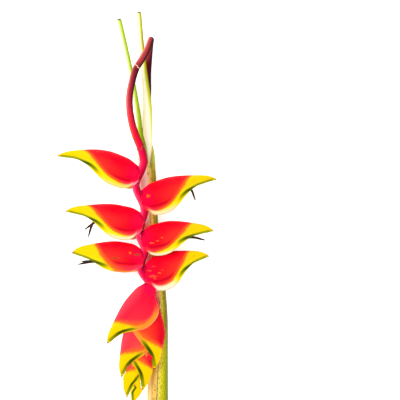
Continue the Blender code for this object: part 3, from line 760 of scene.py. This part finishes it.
# The thickness along a bract, as a share of its widest.
OPEN_BULGE = [(0, 0.42), (0.08, 0.62), (0.2, 0.9), (0.32, 1.0), (0.45, 0.93), (0.6, 0.64), (0.75, 0.36),
              (0.88, 0.19), (0.96, 0.1), (1, 0.03)]
BUD_BULGE = [(0, 0.45), (0.08, 0.68), (0.2, 0.93), (0.35, 1.0), (0.5, 0.97), (0.62, 0.84), (0.75, 0.52),
             (0.88, 0.25), (0.96, 0.12), (1, 0.03)]
# Half a cross-section: shares of the way from keel to lip, and of the half thickness there.
OPEN_SECTION = [(0, 0), (0.06, 0.42), (0.26, 0.84), (0.5, 1.0), (0.72, 0.85), (0.86, 0.9), (1, 1.0)]
BUD_SECTION = [(0, 0), (0.06, 0.42), (0.26, 0.84), (0.5, 1.0), (0.72, 0.98), (0.86, 0.94), (1, 0.9)]
BEAK_SECTION = [(0, 0), (0.1, 0.5), (0.3, 0.88), (0.5, 1.0), (0.7, 0.9), (0.86, 0.7), (1, 0.42)]
# Where the section closes to that of the beak, and where the hollow ends.
OPEN_CLOSING = (0.5, 0.75)
BUD_CLOSING = (0.62, 0.85)
CAVITY_END = (0.82, 0.91)
BRACT_STATIONS = [-0.05, -0.035, -0.018, 0, 0.03, 0.06, 0.1, 0.14, 0.19, 0.24, 0.29, 0.34, 0.39, 0.44,
                  0.485, 0.53, 0.575, 0.62, 0.67, 0.72, 0.77, 0.82, 0.865, 0.91, 0.94, 0.97, 0.985, 0.995]
BASE_ROUNDING = 0.058
OPEN_WALL = 1.15
BUD_WALL = 1.1
NEST_STEP = 1.8
NEST_GAP = 1.0
NEST_EDGE = 0.4
NEST_FLARE = 0.4
BEAK_FLARE = 2.0
BEAK_FLARE_FROM = 0.66
EDGE_SLOPE = 0.7
INSET_STEP = 0.4
INSET_STEPS = 60
BASE_WIDTH = 0.45
KEEL_WALL = 1.5
THICKEST_KEEL = 0.6
THICKEST_SIDE = 0.7
THINNEST_HALF = 0.04
LIP_ROUNDING = 0.35
BRACT_ROWS = 84
BRACT_COLUMNS = 53
BRACT_RELIEF = 0.5

# The side is where the tip points, and the thickness is half of the widest one. The gains scale the
# keel's and the lip's line, the arch bows the bract, and the reach stretches the lip's line along it.
Bract = namedtuple("Bract", "name side base tip thickness keel_gain lip_gain arch reach")
OPEN_BRACTS = [
    Bract("bract_01_left", -1, (-19.4, 130.6, 38.5), (-122.0, 155.8, 0.9), 16.5, 0.78, 0.845, 0.05, -0.04),
    Bract("bract_02_right", 1, (-9.8, 98.8, 38.8), (80.8, 126.4, 0.9), 15.5, 0.98, 0.96, 0.01, -0.1),
    Bract("bract_03_left", -1, (-14.6, 70.0, 39.3), (-110.8, 85.5, 1.5), 15.5, 0.97, 0.925, 0.0, -0.07),
    Bract("bract_04_right", 1, (-8.5, 45.0, 39.8), (77.1, 60.7, 1.5), 14.0, 1.27, 0.77, 0.0, -0.16),
    Bract("bract_05_left", -1, (-13.8, 23.1, 40.3), (-102.6, 33.2, 3.0), 14.5, 1.17, 0.68, 0.0, 0.22),
    Bract("bract_06_right", 1, (-4.0, 3.2, 40.7), (71.4, 28.7, 5.0), 13.0, 1.39, 1.05, 0.0, -0.08),
]
BUD_BRACTS = [
    Bract("bract_07_bud", -1, (0.0, -11.3, 41.0), (-55.6, -79.4, 37.5), 14.45, 1.0, 1.0, 0.0, 0.0),
    Bract("bract_08_bud", 1, (1.3, -25.0, 40.3), (2.5, -111.9, 35.83), 12.0, 0.95, 1.04, 0.0, 0.0),
    Bract("bract_09_bud", -1, (-6.3, -38.8, 39.59), (-38.1, -121.3, 35.35), 10.0, 1.06, 0.98, 0.0, 0.0),
    Bract("bract_10_bud", 1, (-8.8, -52.5, 38.88), (-11.9, -137.5, 34.51), 8.2, 1.08, 0.94, 0.0, 0.0),
    Bract("bract_11_bud", -1, (-12.5, -75.0, 37.73), (-31.3, -146.9, 34.03), 6.4, 1.12, 0.92, 0.0, 0.0),
    Bract("bract_12_bud", 1, (-19.5, -91.0, 36.9), (-25.0, -155.0, 33.61), 4.8, 1.4, 0.9, 0.0, 0.0),
]


def bract_frame(bract):
    """A bract's base, its length, and its directions: along it, towards its lip, and across it to the
    viewer."""
    base, tip = np.array(bract.base), np.array(bract.tip)
    length = np.linalg.norm(tip - base)
    along = (tip - base) / length
    across = unit(HEAD_UP - along * (HEAD_UP @ along))
    return base, length, along, -bract.side * np.cross(across, along), across


def bract_section(bract, s, opened):
    """At a share of a bract's length: how far keel and lip are from its middle line, and the shares of
    the depth and the half thicknesses of half a cross-section. Below 0 the base rounds off into the
    stalk."""
    length = bract_frame(bract)[1]
    lips = OPEN_LIP if opened else BUD_LIP
    keels = RIGHT_BUD_KEEL if bract in BUD_BRACTS[1::2] else KEEL_LINE
    lift = bract.arch * math.sin(math.pi * max(s, 0))
    rounding = math.sqrt(1 - (min(s, 0) / BASE_ROUNDING) ** 2)
    keel = length * (bract.keel_gain * value_along(keels, s) * rounding + lift)
    lip = length * (bract.lip_gain * value_along(lips, s * (1 - bract.reach)) * rounding - lift)
    spread = np.array(OPEN_SECTION if opened else BUD_SECTION, float)
    start, end = OPEN_CLOSING if opened else BUD_CLOSING
    closing = min(max((s - start) / (end - start), 0.0), 1.0)
    depth, width = (spread * (1 - closing) + np.array(BEAK_SECTION, float) * closing).T
    half = width * bract.thickness * value_along(OPEN_BULGE if opened else BUD_BULGE, s)
    return keel, lip, depth, half * (BASE_WIDTH + (1 - BASE_WIDTH) * rounding)


def lining(s, keel, lip, half, wall):
    """How much the inside of a fold is shrunk from its outside, towards the lip and towards the middle.
    The beak is solid."""
    start, end = CAVITY_END
    open_share = min(max((end - s) / (end - start), 0), 1)
    deep = (1 - min(KEEL_WALL * wall / (keel + lip), THICKEST_KEEL)) * open_share
    return deep, 1 - min(wall / half.max(), THICKEST_SIDE)


def room_at(point, around):
    """Half thickness that the bracts folded round a point of the bud's plane leave there. Below nothing,
    the point is in the keel or the beak of one of them."""
    room = math.inf
    for bract in around:
        base, length, along, down, _ = bract_frame(bract)
        s = (point - base) @ along / length
        if not 0 <= s <= 1:
            continue
        keel, lip, depth, half = bract_section(bract, s, False)
        deep, wide = lining(s, keel, lip, half, BUD_WALL)
        share = ((point - base) @ down + keel) / (keel + lip)
        free = np.interp(1 - (1 - share) / max(deep, 0.001), depth, half * wide) - NEST_GAP
        if share > 1:
            flare = NEST_FLARE if s < BEAK_FLARE_FROM else BEAK_FLARE
            room = min(room, free + flare * (share - 1) * (keel + lip))
        else:
            room = min(room - NEST_STEP, free)
    return room


def inset(point, toward, around):
    """How far a point has to move until the bracts folded round it leave it some room."""
    for step in range(INSET_STEPS):
        if room_at(point + toward * step * INSET_STEP, around) > NEST_EDGE:
            break
    return step * INSET_STEP


def eased(edge, steps):
    """The same edge, drawn in where it would run out faster than this along the bract."""
    for i in range(1, len(edge)):
        edge[i] = min(edge[i], edge[i - 1] + EDGE_SLOPE * steps[i - 1])
    for i in range(len(edge) - 2, -1, -1):
        edge[i] = min(edge[i], edge[i + 1] + EDGE_SLOPE * steps[i])
    return edge


def bract_rows(bract, opened, around):
    """Outer and inner lines of a folded bract. Each point is its place, then its share of the bract's
    length, its share of the way from keel to lip, and its distance from the lip."""
    base, length, along, down, across = bract_frame(bract)
    outer, inner = [], []
    keels, lips = np.array([bract_section(bract, s, opened)[:2] for s in BRACT_STATIONS]).T
    if around:
        centres = base + np.outer(BRACT_STATIONS, along) * length
        keels -= [inset(centre - keel * down, down, around) for centre, keel in zip(centres, keels)]
        lips -= [inset(centre + lip * down, -down, around) for centre, lip in zip(centres, lips)]
        steps = np.diff(BRACT_STATIONS) * length
        keels, lips = eased(keels, steps), eased(lips, steps)
    for s, keel, lip in zip(BRACT_STATIONS, keels, lips):
        depth, half = bract_section(bract, s, opened)[2:]
        centre = base + along * length * s
        if around:
            room = [room_at(centre + down * (lip - (keel + lip) * (1 - d)), around) for d in depth]
            half = np.minimum(half, np.maximum(room, NEST_EDGE))
        deep, wide = lining(s, keel, lip, half, OPEN_WALL if opened else BUD_WALL)
        middle = centre + np.outer(-keel + (keel + lip) * depth, down)
        lined = centre + np.outer(lip - (keel + lip) * deep * (1 - depth), down)
        facts = np.stack([np.full(len(depth), s), depth, (1 - depth) * (keel + lip)], axis=1)
        facts = np.concatenate([facts[:0:-1], facts])
        hollow = np.maximum(half * wide, THINNEST_HALF)
        for rows, line, offset in (outer, middle, half), (inner, lined, hollow):
            offset = np.outer(offset, across)
            line = np.concatenate([(line - offset)[:0:-1], line + offset])
            if rows is inner and s >= CAVITY_END[1]:
                line = np.linspace(line[0], line[-1], len(line))
            rows.append(np.concatenate([line, facts], axis=1))
    return np.array(outer), np.array(inner)


def finer(rows):
    """The same lines with more rows and more points in each."""
    rows = rows_through(rows, BRACT_ROWS)
    return rows_through(rows.swapaxes(0, 1), BRACT_COLUMNS).swapaxes(0, 1)


def boat(name, outer, inner, apex):
    """A closed fold from its outer and inner lines, with round edges along both lips, a rim at its base
    and a point at its tip."""
    size = outer.shape[1]
    down = unit(outer[:, -1, :3] + outer[:, 0, :3] - 2 * outer[:, size // 2, :3])
    near = (outer[:, -1] + inner[:, -1]) / 2
    far = (outer[:, 0] + inner[:, 0]) / 2
    thick = np.linalg.norm(outer[:, 0, :3] - inner[:, 0, :3], axis=1)
    for edge in (near, far):
        edge[:, :3] += down * LIP_ROUNDING * thick[:, None]
    rings = np.concatenate([outer, near[:, None], inner[:, ::-1], far[:, None]], axis=1)
    count = 2 * size + 2
    faces = [
        (r + j, r + (j + 1) % count, r + count + (j + 1) % count, r + count + j)
        for r in range(0, (len(rings) - 1) * count, count)
        for j in range(count)
    ]
    faces += [(j, j + 1, count - 3 - j, count - 2 - j) for j in range(size - 1)]
    faces += [(size - 1, size, size + 1), (count - 2, count - 1, 0)]
    last = (len(rings) - 1) * count
    faces += [(last + j, last + (j + 1) % count, last + count) for j in range(count)]
    points = np.concatenate([rings.reshape(-1, 6), [[*apex, 1.0, 0.5, 0.0]]])
    inside = np.zeros((len(rings), count))
    inside[:, size + 1:-1] = 1
    made = object_of(name, points[:, :3], (), faces, place=points[:, 3:], inside=[*inside.ravel(), 0])
    outwards(made.data)
    return made


def grown_bract(bract, opened, around, skin):
    """A bract in its skin, nested in the bracts around it."""
    outer, inner = [finer(rows) for rows in bract_rows(bract, opened, around)]
    piece = boat(bract.name + "_shown", outer, inner, bract.tip)
    piece.data.materials.append(skin)
    return piece


def bract_finish(name, yellow_from, body, lip_paint, lip_width, hem, band, bruises):
    """Waxy bract skin: red body, orange, then a yellow beak and margin, a green band beside the lip, a
    pale lip of this width in millimetres with a thin hem, which on the buds is a painted highlight, bruises
    and a dry brown point. Painted shade lies along the fold and at the base, and painted highlights below
    the fold and on the flared base. The body's colours are those of the sides, their warm part, the base,
    the keel's painted light and the painted highlight on the flared base beside the lip."""
    made, place, shader = finish(name, Specular_IOR_Level=0.03)
    along, deep, rim = place.attribute("place", "Vector").split()
    inside = place.attribute("inside")
    clouds = place.noise(55.0, 3.0)
    streaks = place.joined(along * 5, deep * 22, inside).noise(2.0, 4.0, 0.6)
    at_keel, slant, drop, power = yellow_from
    edge = at_keel - deep * slant - deep ** power * drop
    past = (along - edge + (streaks - 0.5) * (0.12 + deep * 0.06)) / (0.07 + deep * deep * 0.22)
    red, warm, foot, keel_light_and_shade, flare_highlight = body
    # Painted light on the keel: a painted highlight on most buds, painted shade on bract_08_bud; the open
    # bracts keep their red there.
    lit = ((1 - deep.rise(0.0, 0.34)) * 0.6).mix(red, keel_light_and_shade)
    glowing = (along.rise(0.05, 0.45) * deep.rise(0.1, 0.6) * 0.9 + (clouds - 0.5) * 0.4).mix(lit, warm)
    heel = ((1 - along.rise(0.0, 0.14)) * 0.8).mix(glowing, foot)
    # Painted shade along the fold above the lip, near the base.
    fold_shade_mask = deep.bell(0.7, 0.1) * (1 - along.rise(0.25, 0.5)) * along.rise(-0.03, 0.05)
    fold = (fold_shade_mask * band["fold"]).mix(heel, paint(186, 0, 30))
    # Painted highlight below the fold, where the lip flares out.
    below_fold_highlight_mask = deep.rise(0.74, 0.82) * (1 - along.rise(0.2, 0.4))
    below = (below_fold_highlight_mask * band["fold"] * 0.67).mix(fold, paint(250, 50, 62))
    # Painted shade at the base, where the bract meets the stalk.
    base_shade_mask = (1 - along.rise(-0.01, 0.03)) * (1 - deep.rise(0.05, 0.35))
    base_shaded = (base_shade_mask * 0.8).mix(below, paint(150, 0, 40))
    # Painted highlight on the flared base beside the lip; on the right bracts and the buds it is no lighter
    # than the body.
    flare = (deep.rise(0.8, 0.95) * (1 - along.rise(0.08, 0.2)) * 0.7).mix(base_shaded, flare_highlight)
    ripe = along.rise(-0.04, 0.2)
    orange = (past.rise(-1.0, 0.0) * ripe).mix(flare, paint(255, 96, 30))
    yellow = deep.rise(0.5, 0.9).mix(paint(255, 198, 0), paint(246, 210, 0))
    gilded = (past.rise(-0.15, 0.35) * ripe).mix(orange, yellow)
    at_lip = along.rise(*band["lip_start"]) * (1 - along.rise(band["lip_end"] - 0.14, band["lip_end"]))
    pale = ((1 - rim.rise(lip_width * 0.4, lip_width)) * at_lip).mix(gilded, lip_paint)
    # A thin hem along the lip's edge: a dry edge on the open bracts, a painted highlight on the buds.
    hemmed = ((1 - rim.rise(0.2, 0.7)) * at_lip * 0.4).mix(pale, hem)
    off = band["off"] + along.rise(*band["closing"]) * (band["off_at_beak"] - band["off"])
    away = (rim - off + (streaks - 0.5) * 0.8).abs()
    beside = along.rise(*band["start"]) * (1 - along.rise(*band["end"]))
    in_band = 1 - away.rise(band["olive"] * 0.35, band["olive"])
    olive = (in_band * beside * 0.92).mix(hemmed, paint(128, 144, 0))
    in_core = 1 - away.rise(band["dark"] * 0.3, band["dark"])
    green = (in_core * along.bell(*band["darkest"]) * 0.95).mix(olive, paint(40, 66, 2))
    specks = place.noise(620.0, 1.0).rise(0.69, 0.74) * (past.bell(-0.5, 3.0) * 0.6 + 0.2)
    flecked = specks.mix(green, paint(176, 70, 14))
    dry = along.rise(0.968, 0.985).mix(flecked, paint(130, 82, 50))
    lined = (inside * 0.4).mix(dry, paint(255, 150, 84))
    rough = 0.42 + clouds * 0.12 + specks * 0.3
    lay(shader, spots_on(lined, place, bruises), rough, streaks * 0.5 + clouds, BRACT_RELIEF)
    return made


BRUISE = paint(92, 74, 16)
RUSSET = paint(228, 104, 26)
OLD_RUSSET = paint(206, 90, 34)
DOT = paint(74, 20, 16)
OPEN_RED = paint(255, 0, 32)
OPEN_WARM = paint(255, 50, 34)
OPEN_FOOT = paint(240, 0, 58)
OPEN_HEM = paint(206, 160, 100)
OPEN_YELLOW_POWER = 8.0
# The green band beside the lip: how far off it runs, in millimetres, where along the bract it closes
# in, starts, ends and is darkest, and its half widths. Then where the pale lip runs, and how strong the
# painted shade in the fold beside it is, and the painted highlight below that fold.
OPEN_BAND = {"off": 4.0, "off_at_beak": 0.5, "closing": (0.42, 0.72), "start": (0.34, 0.47),
             "end": (0.93, 0.99), "olive": 3.6, "dark": 2.1, "darkest": (0.58, 0.2),
             "lip_start": (-0.01, 0.05), "lip_end": 0.38, "fold": 0.9}
# Where the yellow starts, the painted highlight on the flared base beside the lip (plain red on the
# right bracts), the lip's colour and width, and bruises.
OPEN_LOOKS = {
    "bract_01_left": ((0.70, 0.40, 0.9), paint(255, 168, 184), paint(232, 206, 104), 5.0, []),
    "bract_02_right": ((0.69, 0.33, 0.9), paint(236, 30, 44), paint(230, 212, 154), 6.0,
                       [(-4.5, 105.0, 3.2, 2.6, RUSSET)]),
    "bract_03_left": ((0.716, 0.37, 0.9), paint(255, 90, 124), paint(232, 214, 164), 5.0, []),
    "bract_04_right": ((0.71, 0.33, 0.9), paint(236, 30, 44), paint(232, 218, 176), 4.0, [
        (0.0, 46.6, 3.4, 1.1, RUSSET), (7.4, 49.2, 2.6, 0.8, RUSSET), (12.6, 53.4, 2.4, 0.8, RUSSET)]),
    "bract_05_left": ((0.68, 0.30, 0.16), paint(250, 44, 90), paint(244, 130, 44), 2.0, [
        (-100.6, 33.4, 3.0, 2.4, paint(140, 70, 36)), (-44.6, 27.8, 6.0, 1.6, BRUISE),
        (-18.2, 31.8, 5.0, 1.5, BRUISE), (-26.8, 34.3, 1.8, 1.8, RUSSET)]),
    "bract_06_right": ((0.725, 0.30, 0.9), paint(236, 30, 44), paint(228, 222, 192), 8.0, [
        (70.4, 28.9, 2.6, 2.0, paint(168, 96, 36)), (1.7, 5.1, 5.5, 2.0, OLD_RUSSET),
        (-2.6, 12.2, 3.2, 0.9, RUSSET), (9.4, 9.0, 2.6, 1.1, RUSSET), (2.4, 17.4, 2.4, 0.8, RUSSET),
        (5.0, 2.0, 3.0, 1.0, OLD_RUSSET), (12.6, 12.6, 2.0, 0.8, RUSSET), (-7.0, 5.7, 0.9, 0.9, DOT),
        (52.4, 29.2, 0.9, 0.9, DOT)]),
}
for bract in OPEN_BRACTS:
    yellow_from, flare_highlight, lip_paint, lip_width, bruises = OPEN_LOOKS[bract.name]
    body = (OPEN_RED, OPEN_WARM, OPEN_FOOT, OPEN_RED, flare_highlight)
    skin = bract_finish(bract.name + "_skin", (*yellow_from, OPEN_YELLOW_POWER), body, lip_paint,
                        lip_width, OPEN_HEM, OPEN_BAND, bruises)
    piece = grown_bract(bract, True, (), skin)
    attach(piece, "root")
    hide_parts(bract.name)

BUD_FOOT = paint(232, 0, 70)
BUD_LIP_PAINT = paint(250, 134, 42)
BUD_LIP_WIDTH = 8.5
# Painted highlight along the buds' lip edge.
BUD_LIP_GLINT = paint(255, 196, 160)
BUD_YELLOW_SLOPE = (0.2, 0.4, 12.0)
DRY_POINT = paint(92, 44, 20)
DRY_POINT_SIZE = 2.7
BUD_BAND = {"off": 4.0, "off_at_beak": 2.0, "closing": (0.55, 0.9), "start": (0.5, 0.62),
            "end": (0.93, 0.98), "darkest": (0.72, 0.22), "lip_start": (0.1, 0.26), "lip_end": 0.66,
            "fold": 0.1}
# Half widths of the green band and its dark core, where the yellow starts at the keel, and the red of
# the sides, of their warm part and of the keel, whose painted light makes it lighter on every bud but
# bract_08_bud, where it is painted shade.
BUD_LOOKS = {
    "bract_07_bud": (3.6, 2.6, 0.70, paint(246, 14, 50), paint(252, 40, 60), paint(255, 76, 92)),
    "bract_08_bud": (4.8, 3.6, 0.70, paint(220, 0, 28), paint(252, 60, 34), paint(206, 0, 30)),
    "bract_09_bud": (3.9, 2.9, 0.71, paint(248, 36, 58), paint(252, 66, 66), paint(255, 84, 96)),
    "bract_10_bud": (3.8, 2.9, 0.68, paint(236, 16, 40), paint(252, 60, 50), paint(236, 30, 40)),
    "bract_11_bud": (3.0, 1.9, 0.59, paint(248, 50, 60), paint(252, 80, 70), paint(255, 90, 90)),
    "bract_12_bud": (2.4, 1.5, 0.45, paint(248, 60, 60), paint(252, 90, 60), paint(255, 90, 80)),
}
for number, bract in enumerate(BUD_BRACTS):
    olive, dark, at_keel, red, warm, keel_light_and_shade = BUD_LOOKS[bract.name]
    point = (*bract.tip[:2], DRY_POINT_SIZE, DRY_POINT_SIZE, DRY_POINT)
    body = (red, warm, BUD_FOOT, keel_light_and_shade, BUD_FOOT)
    band = {**BUD_BAND, "olive": olive, "dark": dark}
    skin = bract_finish(bract.name + "_skin", (at_keel, *BUD_YELLOW_SLOPE), body, BUD_LIP_PAINT,
                        BUD_LIP_WIDTH, BUD_LIP_GLINT, band, [point])
    piece = grown_bract(bract, False, BUD_BRACTS[:number], skin)
    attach(piece, "root")
    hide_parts(bract.name)

# Florets. Slender yellow-green tube flowers, two to each open bract, that grew at its bottom. They have
# withered from the tip down, and only some dark ends stand out over the lip. Each is given by where it
# crosses the lip and where it ends, as shares of the bract's length along, down and across it.
FLORETS = {
    "bract_01_left": [((0.36, 0.08, 0.03), (0.46, 0.05, 0.04)), ((0.4, 0.04, -0.03), (0.5, 0.0, -0.02))],
    "bract_02_right": [((0.63, 0.03, 0.01), (0.64, 0.175, 0.03)), ((0.4, 0.06, -0.04), (0.5, 0.05, -0.05))],
    "bract_03_left": [
        ((0.6, 0.07, 0.015), (0.64, 0.255, 0.03)), ((0.58, 0.06, -0.03), (0.73, 0.18, -0.035))],
    "bract_04_right": [
        ((0.68, 0.03, 0.01), (0.84, 0.095, 0.03)), ((0.42, 0.05, -0.04), (0.52, 0.03, -0.05))],
    "bract_05_left": [((0.7, 0.085, 0.02), (0.88, 0.14, 0.03)), ((0.68, 0.08, -0.03), (0.86, 0.1, -0.02))],
    "bract_06_right": [((0.36, 0.14, 0.03), (0.48, 0.12, 0.04)), ((0.4, 0.06, -0.03), (0.54, 0.05, -0.03))],
}
FLORET_RADIUS = [(0, 2.4), (0.35, 2.2), (0.6, 1.8), (0.75, 1.6), (0.9, 1.4), (1, 0.7)]
FLORET_STEP = 1.5
FLORET_SIDES = 12
FLORET_UNEVENNESS = 0.9
FLORET_LUMPS = 420.0
FLORET_RELIEF = 0.6


def floret_line(bract, crossing, end):
    """A floret's line from the stalk, down inside the bract, over its lip and to the tip."""
    base, length, along, down, across = bract_frame(bract)
    shares = np.array([(0.0, 0.03, 0.0), (0.25, 0.08, crossing[2]), crossing, end])
    return line_through(base + length * shares @ np.array([along, down, across]), FLORET_STEP)


def floret_finish():
    """Yellow-green at the base, withered nearly black from the middle to the tip, with a painted highlight
    on the side that faces left.
    """
    made, place, shader = finish("floret_skin", Specular_IOR_Level=0.2)
    run = place.attribute("run")
    right = place.attribute("facing", "Vector").split()[0]
    clouds = place.noise(420.0, 3.0)
    colour = (run + (clouds - 0.5) * 0.16).ramp(
        0, 1, (0, 232, 224, 120), (0.42, 204, 180, 70), (0.56, 120, 76, 34),
        (0.7, 64, 32, 18), (0.86, 44, 22, 14), (1, 38, 20, 14))
    # Painted highlight on the side that faces left.
    left_side_highlighted = (right.rise(-0.6, -0.98) * 0.4).mix(colour, paint(206, 150, 96))
    streaks = place.vector("MULTIPLY", (1.0, 0.3, 1.0)).noise(900.0, 2.0)
    streaked = (streaks.rise(0.5, 0.7) * 0.5).mix(left_side_highlighted, paint(44, 26, 16))
    lay(shader, streaked, 0.5 + run * 0.3, clouds, FLORET_RELIEF)
    return made


floret_skin = floret_finish()
for bract in OPEN_BRACTS:
    node = bract.name.replace("bract", "florets")
    lines = [floret_line(bract, *ends) for ends in FLORETS[bract.name]]
    shares = [np.linspace(0, 1, len(line)) for line in lines]
    radii = [value_along(FLORET_RADIUS, share) * MM for share in shares]
    piece = lines_of(node + "_shown", lines, thick=radii, run=shares)
    grow(piece, rods, {
        "Sides": FLORET_SIDES, "Unevenness": FLORET_UNEVENNESS * MM, "Lumps": FLORET_LUMPS,
        "Finish": floret_skin})
    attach(piece, "root")
    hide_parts(node)

# Studio: a pale floor, large soft lights and a camera that looks straight down, with +Y up in the picture.
FLOOR_REACH = 3000.0
FLOOR_DROP = 0.3
FLOOR_RELIEF = 0.1
FLOOR_GLOW = 0.62
SKY_STRENGTH = 0.6
CAMERA_PLACE = (0.06, 0.10, 2.0)
CAMERA_LENS = 141.5
CAMERA_REACH = 100.0
# Name, place, size and power.
LIGHTS = [
    ("key", (-0.9, 0.6, 1.9), 1.2, 34.0),
    ("fill", (1.3, -0.3, 1.6), 1.6, 13.0),
]

sides = [(-1, -1), (1, -1), (1, 1), (-1, 1)]
corners = [(x * FLOOR_REACH, y * FLOOR_REACH, -FLOOR_DROP) for x, y in sides]
floor = object_of("floor", corners, (), [(0, 1, 2, 3)])
floor_paint, place, shader = finish("floor_paint", Specular_IOR_Level=0.1,
                                    Emission_Color=paint(255, 255, 255), Emission_Strength=FLOOR_GLOW)
haze = place.noise(3.0, 2.0)
lay(shader, haze.mix(paint(250, 250, 250), paint(246, 246, 246)), 0.8 + haze * 0.1, haze, FLOOR_RELIEF)
floor.data.materials.append(floor_paint)

for name, lamp_place, size, power in LIGHTS:
    lamp = bpy.data.objects.new(name, bpy.data.lights.new(name, "AREA"))
    lamp.data.size = size
    lamp.data.energy = power
    lamp.location = lamp_place
    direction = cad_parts["leaf_outer"].location - lamp.location
    lamp.rotation_euler = direction.to_track_quat("-Z", "Y").to_euler()
    bpy.context.scene.collection.objects.link(lamp)

sky = bpy.data.worlds.new("sky")
sky.use_nodes = True
sky.node_tree.nodes["Background"].inputs["Color"].default_value = (1.0, 1.0, 1.0, 1.0)
sky.node_tree.nodes["Background"].inputs["Strength"].default_value = SKY_STRENGTH
bpy.context.scene.world = sky
bpy.context.scene.view_settings.view_transform = "Standard"

camera = bpy.data.objects.new("camera", bpy.data.cameras.new("camera"))
camera.location = CAMERA_PLACE
camera.data.lens = CAMERA_LENS
camera.data.clip_end = CAMERA_REACH
bpy.context.scene.collection.objects.link(camera)
bpy.context.scene.camera = camera
